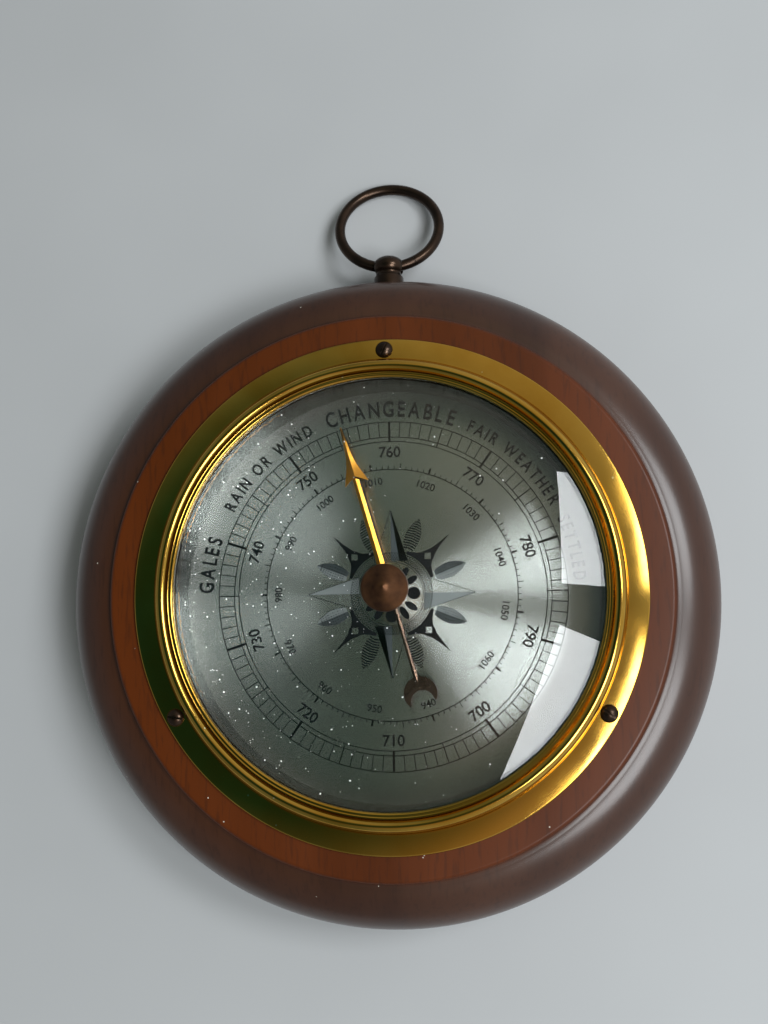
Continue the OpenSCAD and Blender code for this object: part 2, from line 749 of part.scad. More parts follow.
module hanger_eye() {
    from_wood = wood_r + running;
    neck_turn = asin(neck_r / ball_r);
    color([0.25, 0.18, 0.13]) difference() {
        translate([0, ball_y, eye_z]) rotate([-90, 0, 0]) rotate_extrude($fn = 96) polygon(concat(
            [[0, -ball_gap - eye_shank_l], [eye_shank_d / 2, -ball_gap - eye_shank_l],
             [eye_shank_d / 2, from_wood - ball_y], [collar_r, from_wood - ball_y],
             [collar_r, -ball_len / 2 - 0.2]],
            arc(0, 0, ball_r, ball_len / 2, neck_turn - 90, 90)));
        translate([0, ball_y, eye_z]) rod_x(eye_hole_r, -ball_r - cut, ball_r + cut);
    }
}

module hanging_ring() {
    color([0.3, 0.22, 0.16]) translate([0, ball_y, eye_z]) rotate([-ring_lean, 0, 0])
        translate([0, ring_c_r, 0]) rotate_extrude($fn = 96) translate([ring_c_r, 0])
            circle(r = ring_wire_r, $fn = 32);
}

module adjusting_screw() {
    head_h = 0.7;
    low = 0.1;
    color([0.6, 0.58, 0.5]) translate([0, -capsule_y, 0]) difference() {
        union() {
            translate([0, 0, low]) cylinder(d = 5.2, h = head_h - 0.05, $fn = 64);
            translate([0, 0, low]) cylinder(d = 3, h = plate_top + 0.3 - low, $fn = 48);
        }
        translate([-3, -0.4, low - cut]) cube([6, 0.8, cut + 0.35]);
    }
}

wood_base();
case_can();
bezel();
bezel_screws();
glass();
glass_gasket();
dial_ring();
dial_plate();
dial_posts();
movement_plate();
movement_screws();
capsule_lower();
capsule_upper();
capsule_post();
lever_brackets();
main_lever();
lever_axle();
link_rod();
rocking_brackets();
rocking_shaft();
long_arm();
short_arm_plate();
fine_chain();
lower_pillars();
arbor_cock();
upper_pillars();
arbor_bridge();
bridge_screws();
arbor();
chain_drum();
hairspring();
hairspring_stud();
hand_collet();
indicating_hand();
set_knob();
set_spindle();
knob_washer();
spindle_collar();
set_hand();
hanger_eye();
hanging_ring();
adjusting_screw();
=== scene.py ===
"""Looks of an aneroid wall barometer that lies on its back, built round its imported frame."""

import json
import logging
import math
import random
from dataclasses import dataclass
from enum import Enum
from typing import Callable, Sequence

import bpy
from mathutils import Matrix, Vector


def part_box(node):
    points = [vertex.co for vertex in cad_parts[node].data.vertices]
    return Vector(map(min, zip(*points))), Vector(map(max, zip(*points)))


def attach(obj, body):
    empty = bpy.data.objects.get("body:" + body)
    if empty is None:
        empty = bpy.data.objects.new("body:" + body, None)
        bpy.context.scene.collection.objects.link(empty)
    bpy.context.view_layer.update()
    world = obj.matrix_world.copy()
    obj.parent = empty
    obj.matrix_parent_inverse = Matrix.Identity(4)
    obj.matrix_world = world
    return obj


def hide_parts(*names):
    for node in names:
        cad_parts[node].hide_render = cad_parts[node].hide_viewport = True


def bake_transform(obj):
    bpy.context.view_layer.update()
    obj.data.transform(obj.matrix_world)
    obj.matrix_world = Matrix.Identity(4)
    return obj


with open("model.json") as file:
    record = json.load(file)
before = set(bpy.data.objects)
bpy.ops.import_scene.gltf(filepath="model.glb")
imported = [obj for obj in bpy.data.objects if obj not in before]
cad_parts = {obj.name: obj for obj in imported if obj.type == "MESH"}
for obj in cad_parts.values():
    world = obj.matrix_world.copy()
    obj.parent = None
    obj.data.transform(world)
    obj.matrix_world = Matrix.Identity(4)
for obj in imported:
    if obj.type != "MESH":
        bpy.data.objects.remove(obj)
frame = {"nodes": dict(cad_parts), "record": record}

LOG = logging.getLogger("barometer")
MM = 0.001
FULL_TURN = 2 * math.pi
FINE_STEPS = 256
SMALL_STEPS = 64
MERGE = 1e-7
NEAR = 1e-6
SHARP_OVER = 35

Point = tuple[float, float]
Colour = tuple[float, float, float]


class Body(Enum):
    """The rigid bodies that pieces ride on."""

    CASE = "case"
    RING = "ring"
    SET_HAND = "set_hand"
    POINTER = "pointer"
    ROCKER = "rocker"
    POST = "post"


class Slot(Enum):
    """The record's material slots, which new pieces are named with but not given."""

    WOOD = "stained_wood"
    BRASS = "polished_brass"
    GILT = "gilt_brass"
    BRONZE = "dark_bronze"
    COPPER = "copper_patina"
    DIAL = "silvered_dial"
    GLASS = "clear_glass"
    STEEL = "plain_steel"
    CAPSULE = "capsule_metal"


class Side(Enum):
    """Which way the tops of a dial's figures point, as degrees from outward."""

    OUTWARD = 0
    INWARD = 180


class Ink(Enum):
    """The inks of the dial's print."""

    BLACK = "black"
    GREY = "grey"
    PALE = "pale"


# Helpers that draw and shape meshes


def deselect() -> None:
    """Deselects every object."""
    bpy.ops.object.select_all(action="DESELECT")


def edit(obj: bpy.types.Object) -> None:
    """Opens one object alone in edit mode, with all of it selected.

    Args:
        obj: The mesh object.
    """
    activate(obj)
    bpy.ops.object.mode_set(mode="EDIT")
    bpy.ops.mesh.select_mode(type="VERT")
    bpy.ops.mesh.select_all(action="SELECT")


def close() -> None:
    """Leaves edit mode."""
    bpy.ops.object.mode_set(mode="OBJECT")


def pick(obj: bpy.types.Object, test: Callable[[Vector], bool]) -> None:
    """Selects the vertices of an open object by their place.

    Args:
        obj: The object in edit mode.
        test: Says whether a vertex at a place is selected.
    """
    bpy.ops.mesh.select_all(action="DESELECT")
    close()
    for vertex in obj.data.vertices:
        vertex.select = test(vertex.co)
    bpy.ops.object.mode_set(mode="EDIT")


def activate(obj: bpy.types.Object) -> None:
    """Selects one object alone and makes it the active one.

    Args:
        obj: The object.
    """
    deselect()
    obj.select_set(True)
    bpy.context.view_layer.objects.active = obj


def place(obj: bpy.types.Object, matrix: Matrix) -> bpy.types.Object:
    """Bakes a turn and a move into an object's mesh.

    Args:
        obj: The mesh object.
        matrix: The place that its mesh goes to.

    Returns:
        The same object, at the origin.
    """
    obj.data.transform(matrix @ obj.matrix_world)
    obj.matrix_world = Matrix.Identity(4)
    obj.data.update()
    return obj


def arc(centre: Point, size: Point, start: float, stop: float, steps: int = 24) -> list[Point]:
    """Points along a stretch of an ellipse.

    Args:
        centre: The ellipse's middle.
        size: Its half width and half height.
        start: The first angle in degrees.
        stop: The last angle in degrees.
        steps: The number of stretches between the points.

    Returns:
        The points in order.
    """
    angles = [math.radians(start + (stop - start) * i / steps) for i in range(steps + 1)]
    return [(centre[0] + size[0] * math.cos(a), centre[1] + size[1] * math.sin(a)) for a in angles]


def mm(points: Sequence[Point], up: float = 0.0) -> list[Point]:
    """Turns points from millimetres to metres.

    Args:
        points: The points in millimetres.
        up: A height in metres that is added to each.

    Returns:
        The points in metres.
    """
    return [(x * MM, up + y * MM) for x, y in points]


def drawn_line(name: str, points: Sequence[Sequence[float]]) -> bpy.types.Object:
    """Draws a line through points by extruding one vertex, and leaves it open in edit mode.

    Args:
        name: The new object's name.
        points: The points in space.

    Returns:
        The new object.
    """
    deselect()
    bpy.ops.mesh.primitive_plane_add(size=MM)
    obj = bpy.context.object
    obj.name = name
    edit(obj)
    bpy.ops.mesh.merge(type="CENTER")
    bpy.ops.transform.translate(value=points[0])
    for here, there in zip(points, points[1:]):
        step = Vector(there) - Vector(here)
        bpy.ops.mesh.extrude_region_move(TRANSFORM_OT_translate={"value": step})
    bpy.ops.mesh.select_all(action="SELECT")
    return obj


def tidy(obj: bpy.types.Object, smooth: float = SHARP_OVER) -> bpy.types.Object:
    """Merges doubles, turns faces outward and smooths all but sharp edges.

    Args:
        obj: The object, open or not.
        smooth: The angle in degrees over which an edge stays sharp.

    Returns:
        The same object, out of edit mode.
    """
    if obj.mode != "EDIT":
        edit(obj)
    bpy.ops.mesh.select_all(action="SELECT")
    bpy.ops.mesh.remove_doubles(threshold=MERGE)
    bpy.ops.mesh.normals_make_consistent(inside=False)
    close()
    activate(obj)
    bpy.ops.object.shade_smooth_by_angle(angle=math.radians(smooth))
    return obj


def turned(name: str, profile: Sequence[Point], steps: int = FINE_STEPS,
           smooth: float = SHARP_OVER) -> bpy.types.Object:
    """Turns a profile round the Z axis, as on a lathe.

    Args:
        name: The new object's name.
        profile: Radius and height of each point in metres.
        steps: The number of steps of a full turn.
        smooth: The angle in degrees over which an edge stays sharp.

    Returns:
        The turned object.
    """
    obj = drawn_line(name, [(r, 0, z) for r, z in profile])
    bpy.ops.mesh.spin(steps=steps, angle=FULL_TURN, center=(0, 0, 0), axis=(0, 0, 1))
    return tidy(obj, smooth)


def band(inner: float, outer: float, low: float, high: float) -> list[Point]:
    """The closed profile of a ring with square edges."""
    return [(inner, low), (outer, low), (outer, high), (inner, high), (inner, low)]


def plate(name: str, outline: Sequence[Point], low: float, high: float) -> bpy.types.Object:
    """Fills an outline and extrudes it to a flat plate.

    Args:
        name: The new object's name.
        outline: The corners in metres, in order.
        low: Height of the underside.
        high: Height of the top.

    Returns:
        The plate.
    """
    corners = [(x, y, low) for x, y in outline]
    obj = drawn_line(name, corners + corners[:1])
    bpy.ops.mesh.remove_doubles(threshold=MERGE)
    bpy.ops.mesh.select_all(action="SELECT")
    bpy.ops.mesh.edge_face_add()
    bpy.ops.mesh.extrude_region_move(TRANSFORM_OT_translate={"value": (0, 0, high - low)})
    return tidy(obj)


def joined(name: str, parts: Sequence[bpy.types.Object]) -> bpy.types.Object:
    """Joins several mesh objects into one.

    Args:
        name: The name of the result.
        parts: The objects, of which the first keeps its place.

    Returns:
        The joined object.
    """
    deselect()
    for part in parts:
        part.select_set(True)
    bpy.context.view_layer.objects.active = parts[0]
    if len(parts) > 1:
        bpy.ops.object.join()
    whole = bpy.context.view_layer.objects.active
    whole.name = name
    return whole


def copied(obj: bpy.types.Object, matrix: Matrix) -> bpy.types.Object:
    """Copies an object with its own mesh.

    Args:
        obj: The object that is copied.
        matrix: The place of the copy.

    Returns:
        The copy.
    """
    twin = obj.copy()
    twin.data = obj.data.copy()
    bpy.context.collection.objects.link(twin)
    return place(twin, matrix)


def cut_out(obj: bpy.types.Object, cutter: bpy.types.Object) -> None:
    """Cuts one object's shape out of another and removes the cutter.

    Args:
        obj: The object that is cut.
        cutter: The shape that is taken away.
    """
    activate(obj)
    modifier = obj.modifiers.new("cut", "BOOLEAN")
    modifier.operation = "DIFFERENCE"
    modifier.solver = "EXACT"
    modifier.object = cutter
    bpy.ops.object.modifier_apply(modifier=modifier.name)
    bpy.data.objects.remove(cutter)


def bevelled(obj: bpy.types.Object, width: float) -> bpy.types.Object:
    """Rounds an object's sharp edges with an applied bevel.

    Args:
        obj: The mesh object.
        width: Width of the bevel in metres.

    Returns:
        The same object.
    """
    activate(obj)
    modifier = obj.modifiers.new("round", "BEVEL")
    modifier.width = width
    modifier.segments = 2
    modifier.limit_method = "ANGLE"
    modifier.angle_limit = math.radians(SHARP_OVER)
    modifier.use_clamp_overlap = True
    bpy.ops.object.modifier_apply(modifier=modifier.name)
    return tidy(obj, 40)


def blade(name: str, rows: Sequence[Point], ridge: float, low: float, thick: float,
          notch: float = 0) -> bpy.types.Object:
    """A thin blade along +Y with a folded ridge down its middle.

    Args:
        name: The new object's name.
        rows: Distance and half width of each row in metres.
        ridge: Height of the fold over the edges.
        low: Height of the edges.
        thick: Thickness of the sheet.
        notch: How far the middle of the first row lies ahead of its ends.

    Returns:
        The blade.
    """
    deselect()
    bpy.ops.mesh.primitive_grid_add(x_subdivisions=2, y_subdivisions=len(rows) - 1, size=2)
    obj = bpy.context.object
    obj.name = name
    last = len(rows) - 1
    row_near = 1e-4
    for i, (along, half) in enumerate(rows):
        at = -1 + 2 * i / last
        edit(obj)
        # A shaped row stands at a height of 1, so it isn't picked again
        pick(obj, lambda co, at=at: abs(co.y - at) < row_near and abs(co.z) < 0.5)
        bpy.ops.transform.resize(value=(half, 1, 1), center_override=(0, 0, 0))
        bpy.ops.transform.translate(value=(0, along - at, 1))
        close()
    edit(obj)
    bpy.ops.transform.translate(value=(0, 0, low - 1))
    pick(obj, lambda co: abs(co.x) < NEAR)
    bpy.ops.transform.translate(value=(0, 0, ridge))
    first = rows[0][0]
    pick(obj, lambda co: abs(co.x) < NEAR and abs(co.y - first) < NEAR)
    bpy.ops.transform.translate(value=(0, notch, 0))
    bpy.ops.mesh.select_all(action="SELECT")
    bpy.ops.mesh.normals_make_consistent(inside=False)
    close()
    modifier = obj.modifiers.new("sheet", "SOLIDIFY")
    modifier.thickness = thick
    modifier.offset = 0
    bpy.ops.object.modifier_apply(modifier=modifier.name)
    return tidy(obj, 8)


def clock(angle: float, radius: float) -> Point:
    """The place at a clock angle in degrees from the top, and a radius."""
    a = math.radians(angle)
    return radius * math.sin(a), radius * math.cos(a)


def about_z(angle: float) -> Matrix:
    """A clockwise turn about the dial's axis, in degrees."""
    return Matrix.Rotation(-math.radians(angle), 4, "Z")


def at_clock(angle: float, radius: float, up: float, turn: float) -> Matrix:
    """The place at a clock angle, a radius and a height, with a clockwise turn of its own."""
    return Matrix.Translation((*clock(angle, radius), up)) @ about_z(turn)


def carry(obj: bpy.types.Object, material: bpy.types.Material, body: Body, slot: Slot,
          *nodes: str) -> bpy.types.Object:
    """Gives a finished piece its material, its body and the nodes that it stands for.

    Args:
        obj: The finished piece.
        material: Its material.
        body: The body that it rides on.
        slot: The record's material slot; not used.
        nodes: The CAD nodes that it replaces.

    Returns:
        The same piece.
    """
    obj.data.materials.clear()
    obj.data.materials.append(material)
    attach(obj, body.value)
    if nodes:
        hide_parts(*nodes)
    LOG.info("%s: %d faces on %s", obj.name, len(obj.data.polygons), body.value)
    return obj


# Shader parts


@dataclass(frozen=True)
class Wiring:
    """A node tree with short ways to add nodes and links."""

    tree: bpy.types.NodeTree

    def node(self, kind: str) -> bpy.types.Node:
        """Adds a node of a kind."""
        return self.tree.nodes.new(kind)

    def link(self, out: bpy.types.NodeSocket, into: bpy.types.NodeSocket) -> None:
        """Links two sockets."""
        self.tree.links.new(out, into)

    def maths(self, operation: str, first: bpy.types.NodeSocket,
              second: bpy.types.NodeSocket) -> bpy.types.NodeSocket:
        """Works out one value from two.

        Args:
            operation: What the Math node does.
            first: The first value.
            second: The second value.

        Returns:
            The result.
        """
        node = self.node("ShaderNodeMath")
        node.operation = operation
        self.link(first, node.inputs[0])
        self.link(second, node.inputs[1])
        return node.outputs[0]

    def spread(self, value: bpy.types.NodeSocket, ends: Point, results: Point = (0, 1),
               curve: str = "LINEAR") -> bpy.types.NodeSocket:
        """Maps a value from one range onto another.

        Args:
            value: The incoming value.
            ends: The two ends of its range.
            results: What they become.
            curve: How the values between them go.

        Returns:
            The mapped value.
        """
        node = self.node("ShaderNodeMapRange")
        node.interpolation_type = curve
        for label, number in zip(("From Min", "From Max", "To Min", "To Max"), (*ends, *results)):
            node.inputs[label].default_value = number
        self.link(value, node.inputs["Value"])
        return node.outputs["Result"]

    def ramp(self, factor: bpy.types.NodeSocket,
             stops: Sequence[tuple[float, Colour]]) -> bpy.types.NodeSocket:
        """Turns a value into a colour.

        Args:
            factor: The value.
            stops: Place and colour of each stop.

        Returns:
            The colour socket.
        """
        node = self.node("ShaderNodeValToRGB")
        elements = node.color_ramp.elements
        while len(elements) < len(stops):
            elements.new(0.5)
        for element, (at, colour) in zip(elements, stops):
            element.position = at
            element.color = (*colour, 1)
        self.link(factor, node.inputs["Fac"])
        return node.outputs["Color"]

    def mix(self, factor: object, first: object, second: object,
            blend: str = "MIX") -> bpy.types.NodeSocket:
        """Mixes two colours, each a socket or a colour.

        Args:
            factor: The share of the second colour, a socket or a number.
            first: The colour at zero.
            second: The colour at one.
            blend: How the second colour is laid on the first.

        Returns:
            The mixed colour.
        """
        node = self.node("ShaderNodeMix")
        node.data_type = "RGBA"
        node.blend_type = blend
        for value, socket in ((factor, node.inputs[0]), (first, node.inputs[6]), (second, node.inputs[7])):
            if isinstance(value, tuple):
                socket.default_value = (*value, 1)
            elif isinstance(value, float):
                socket.default_value = value
            else:
                self.link(value, socket)
        return node.outputs[2]


@dataclass(frozen=True)
class Group(Wiring):
    """A shader group with named number sockets."""

    @classmethod
    def named(cls, name: str, inputs: dict[str, float], outputs: Sequence[str]) -> "Group":
        """Makes an empty group.

        Args:
            name: The group's name.
            inputs: Name and default of each input.
            outputs: Names of the outputs.

        Returns:
            The group with its input and output nodes.
        """
        tree = bpy.data.node_groups.new(name, "ShaderNodeTree")
        for label, value in inputs.items():
            socket = tree.interface.new_socket(label, in_out="INPUT", socket_type="NodeSocketFloat")
            socket.default_value = value
        for label in outputs:
            tree.interface.new_socket(label, in_out="OUTPUT", socket_type="NodeSocketFloat")
        tree.nodes.new("NodeGroupInput").name = "in"
        tree.nodes.new("NodeGroupOutput").name = "out"
        return cls(tree)

    def given(self, label: str) -> bpy.types.NodeSocket:
        """A value that comes into the group."""
        return self.tree.nodes["in"].outputs[label]

    def give(self, label: str, value: bpy.types.NodeSocket) -> None:
        """Puts a value out of the group."""
        self.link(value, self.tree.nodes["out"].inputs[label])

    def noise(self, vector: bpy.types.NodeSocket, scale: str, detail: float) -> bpy.types.Node:
        """Adds a noise.

        Args:
            vector: The place that it is read at.
            scale: The input that holds its scale.
            detail: Its detail.

        Returns:
            The noise node.
        """
        noise = self.node("ShaderNodeTexNoise")
        noise.inputs["Detail"].default_value = detail
        self.link(vector, noise.inputs["Vector"])
        self.link(self.given(scale), noise.inputs["Scale"])
        return noise


def specks_group() -> bpy.types.NodeTree:
    """Scattered round specks of dust, one in some of the cells.

    Returns:
        A group that puts out a mask.
    """
    group = Group.named("dust_specks", {"Scale": 300, "Size": 0.12, "Share": 0.3}, ["Mask"])
    coord = group.node("ShaderNodeTexCoord")
    cells = group.node("ShaderNodeTexVoronoi")
    group.link(coord.outputs["Object"], cells.inputs["Vector"])
    group.link(group.given("Scale"), cells.inputs["Scale"])
    split = group.node("ShaderNodeSeparateColor")
    group.link(cells.outputs["Color"], split.inputs["Color"])
    small = group.maths("LESS_THAN", cells.outputs["Distance"], group.given("Size"))
    some = group.maths("LESS_THAN", split.outputs["Red"], group.given("Share"))
    group.give("Mask", group.maths("MULTIPLY", small, some))
    return group.tree


def patches_group() -> bpy.types.NodeTree:
    """Soft uneven patches of tarnish, wear or stain.

    Returns:
        A group that puts out a value about one half and a finer height.
    """
    group = Group.named("patches", {"Scale": 40, "Fine Scale": 900}, ["Value", "Height"])
    coord = group.node("ShaderNodeTexCoord")
    for scale, detail, out in (("Scale", 5, "Value"), ("Fine Scale", 3, "Height")):
        group.give(out, group.noise(coord.outputs["Object"], scale, detail).outputs["Fac"])
    return group.tree


def grain_group() -> bpy.types.NodeTree:
    """Straight fine grain of turned mahogany, with its bands along Y.

    Returns:
        A group that puts out the colour bands and the open pores.
    """
    group = Group.named("wood_grain", {"Bands": 34, "Pores": 900}, ["Band", "Pore"])
    stretch, slant, waver = 0.12, math.radians(4), 0.4
    coord = group.node("ShaderNodeTexCoord")
    for scale, detail, out in (("Bands", 6, "Band"), ("Pores", 3, "Pore")):
        mapping = group.node("ShaderNodeMapping")
        mapping.inputs["Scale"].default_value = (1, stretch, 1)
        mapping.inputs["Rotation"].default_value = (0, 0, slant)
        group.link(coord.outputs["Object"], mapping.inputs["Vector"])
        noise = group.noise(mapping.outputs["Vector"], scale, detail)
        noise.inputs["Distortion"].default_value = waver
        group.give(out, noise.outputs["Fac"])
    return group.tree


@dataclass(frozen=True)
class Shader(Wiring):
    """A new material with its nodes at hand."""

    material: bpy.types.Material

    @classmethod
    def named(cls, name: str) -> "Shader":
        """Starts a node material.

        Args:
            name: The material's name.

        Returns:
            The material with its nodes at hand.
        """
        material = bpy.data.materials.new(name)
        material.use_nodes = True
        return cls(material.node_tree, material)

    @property
    def surface(self) -> bpy.types.Node:
        """The Principled shader."""
        return self.tree.nodes["Principled BSDF"]

    def set(self, **values: object) -> None:
        """Sets sockets of the Principled shader, with underscores for spaces."""
        for label, value in values.items():
            self.surface.inputs[label.replace("_", " ")].default_value = value

    def feed(self, **sources: bpy.types.NodeSocket) -> None:
        """Links sockets to those of the Principled shader, with underscores for spaces."""
        for label, source in sources.items():
            self.link(source, self.surface.inputs[label.replace("_", " ")])

    def group(self, tree: bpy.types.NodeTree, **values: float) -> bpy.types.Node:
        """Places a node group with its own values.

        Args:
            tree: The group.
            values: Its inputs, with underscores for spaces.

        Returns:
            The group's node.
        """
        node = self.node("ShaderNodeGroup")
        node.node_tree = tree
        for label, value in values.items():
            node.inputs[label.replace("_", " ")].default_value = value
        return node

    def between(self, value: bpy.types.NodeSocket, low: float, high: float) -> bpy.types.NodeSocket:
        """Maps a value's middle stretch, where most of a noise lies, onto a range.

        Args:
            value: The incoming value.
            low: What 0.3 and less becomes.
            high: What 0.7 and more becomes.

        Returns:
            The mapped value.
        """
        return self.spread(value, (0.3, 0.7), (low, high))

    def bump(self, height: bpy.types.NodeSocket, strength: float, depth: float) -> None:
        """Feeds a height to the surface's normal.

        Args:
            height: The height.
            strength: The strength of the bump.
            depth: The depth in metres.
        """
        bump = self.node("ShaderNodeBump")
        bump.inputs["Strength"].default_value = strength
        bump.inputs["Distance"].default_value = depth
        self.link(height, bump.inputs["Height"])
        self.feed(Normal=bump.outputs["Normal"])

    def radius(self) -> bpy.types.NodeSocket:
        """Measures the distance from the dial's axis.

        Returns:
            The distance in metres.
        """
        coord = self.node("ShaderNodeTexCoord")
        flat = self.node("ShaderNodeVectorMath")
        flat.operation = "MULTIPLY"
        flat.inputs[1].default_value = (1, 1, 0)
        length = self.node("ShaderNodeVectorMath")
        length.operation = "LENGTH"
        self.link(coord.outputs["Object"], flat.inputs[0])
        self.link(flat.outputs[0], length.inputs[0])
        return length.outputs["Value"]


@dataclass(frozen=True)
class Groups:
    """The shader groups that several finishes share."""

    specks: bpy.types.NodeTree
    patches: bpy.types.NodeTree
    grain: bpy.types.NodeTree


@dataclass(frozen=True)
class WoodFinish:
    """Dark mahogany stain under a satin varnish, redder on the raised flat."""

    flat_radius: float
    dark: Colour = (0.028, 0.009, 0.004)
    rim: Colour = (0.055, 0.019, 0.008)
    red: Colour = (0.105, 0.021, 0.001)
    speck: Colour = (0.5, 0.45, 0.38)
    red_band: float = 0.62
    deep_pore: float = 0.6
    fade: Point = (1.2 * MM, 1.0 * MM)
    pore: Point = (0.34, 0.47)
    pore_shade: Colour = (0.3, 0.3, 0.3)
    rough: Point = (0.36, 0.46)
    varnish: Point = (0.12, 0.6)
    depth: float = 0.05 * MM

    def build(self, groups: Groups) -> bpy.types.Material:
        """Makes the material.

        Args:
            groups: The shared shader groups.

        Returns:
            The finished material.
        """
        s = Shader.named("mahogany_satin")
        grain = s.group(groups.grain)
        ends = (self.flat_radius - self.fade[0], self.flat_radius + self.fade[1])
        step = s.spread(s.radius(), ends, curve="SMOOTHSTEP")
        band = s.between(grain.outputs["Band"], 0, 1)
        inner = s.mix(band, tuple(c * self.red_band for c in self.red), self.red)
        outer = s.mix(band, self.dark, self.rim)
        stain = s.mix(step, inner, outer)
        shades = tuple(zip(self.pore, (self.pore_shade, (0, 0, 0))))
        pores = s.ramp(grain.outputs["Pore"], shades)
        deep = s.mix(pores, stain, tuple(c * self.deep_pore for c in self.dark))
        specks = s.group(groups.specks, Scale=240, Size=0.05, Share=0.16)
        s.feed(Base_Color=s.mix(specks.outputs["Mask"], deep, self.speck),
               Roughness=s.between(grain.outputs["Band"], *self.rough),
               Coat_Weight=s.between(step, *self.varnish))
        s.set(Coat_Roughness=0.22, Coat_IOR=1.5, Specular_IOR_Level=0.22)
        s.bump(grain.outputs["Pore"], 0.18, self.depth)
        return s.material


@dataclass(frozen=True)
class MetalFinish:
    """A metal with patches of tarnish, fine scratches and dust specks."""

    name: str
    bright: Colour
    dull: Colour
    rough: Point
    speck: Colour = (0.8, 0.72, 0.5)
    speck_share: float = 0.14
    metallic: float = 1.0
    patch: float = 60
    fine: float = 2400
    bump: float = 0.04
    depth: float = 0.05 * MM

    def build(self, groups: Groups) -> bpy.types.Material:
        """Makes the material.

        Args:
            groups: The shared shader groups.

        Returns:
            The finished material.
        """
        s = Shader.named(self.name)
        patches = s.group(groups.patches, Scale=self.patch, Fine_Scale=self.fine)
        metal = s.mix(s.between(patches.outputs["Value"], 0, 1), self.dull, self.bright)
        specks = s.group(groups.specks, Scale=260, Size=0.06, Share=self.speck_share)
        s.feed(Base_Color=s.mix(specks.outputs["Mask"], metal, self.speck),
               Roughness=s.between(patches.outputs["Value"], self.rough[1], self.rough[0]))
        s.set(Metallic=self.metallic)
        s.bump(patches.outputs["Height"], self.bump, self.depth)
        return s.material


@dataclass(frozen=True)
class DialFinish:
    """Silvered metal brushed in circles, so its sheen fans out from the middle."""

    name: str = "silvered_spun"
    silver: Colour = (0.56, 0.575, 0.56)
    worn: Colour = (0.46, 0.47, 0.445)
    groove: float = 5200
    depth: float = 0.02 * MM

    def build(self, groups: Groups) -> bpy.types.Material:
        """Makes the material.

        Args:
            groups: The shared shader groups.

        Returns:
            The finished material.
        """
        s = Shader.named(self.name)
        patches = s.group(groups.patches, Scale=24, Fine_Scale=1500)
        s.feed(Base_Color=s.mix(s.between(patches.outputs["Value"], 0, 1), self.worn, self.silver))
        s.set(Metallic=1.0, Roughness=0.215, Anisotropic=0.97, Anisotropic_Rotation=0.25)
        tangent = s.node("ShaderNodeTangent")
        tangent.direction_type = "RADIAL"
        tangent.axis = "Z"
        s.feed(Tangent=tangent.outputs["Tangent"])
        rings = s.node("ShaderNodeTexNoise")
        rings.noise_dimensions = "1D"
        rings.inputs["Scale"].default_value = self.groove
        rings.inputs["Detail"].default_value = 4
        s.link(s.radius(), rings.inputs["W"])
        s.bump(rings.outputs["Fac"], 0.12, self.depth)
        return s.material


@dataclass(frozen=True)
class InkFinish:
    """Printing ink or dust, a little thinner where its patches are low."""

    name: str
    ink: Colour
    thin: Colour
    rough: float
    wear: Point = (0.22, 0.34)

    def build(self, groups: Groups) -> bpy.types.Material:
        """Makes the material.

        Args:
            groups: The shared shader groups.

        Returns:
            The finished material.
        """
        s = Shader.named(self.name)
        patches = s.group(groups.patches, Scale=500, Fine_Scale=3000)
        s.feed(Base_Color=s.ramp(patches.outputs["Value"], tuple(zip(self.wear, (self.thin, self.ink)))))
        s.set(Roughness=self.rough, Specular_IOR_Level=0.06)
        return s.material


@dataclass(frozen=True)
class GlassFinish:
    """Clear domed glass that lets light through to the dial."""

    tint: Colour = (0.97, 0.99, 0.985)
    ior: float = 1.38

    def build(self) -> bpy.types.Material:
        """Makes the material.

        Returns:
            The finished material.
        """
        s = Shader.named("clear_glass")
        s.set(Base_Color=(*self.tint, 1), Roughness=0.0, IOR=self.ior, Transmission_Weight=1.0, Alpha=1.0)
        clear = s.node("ShaderNodeBsdfTransparent")
        clear.inputs["Color"].default_value = (*self.tint, 1)
        path = s.node("ShaderNodeLightPath")
        mix = s.node("ShaderNodeMixShader")
        s.link(path.outputs["Is Shadow Ray"], mix.inputs[0])
        s.link(s.surface.outputs[0], mix.inputs[1])
        s.link(clear.outputs[0], mix.inputs[2])
        s.link(mix.outputs[0], s.tree.nodes["Material Output"].inputs["Surface"])
        return s.material


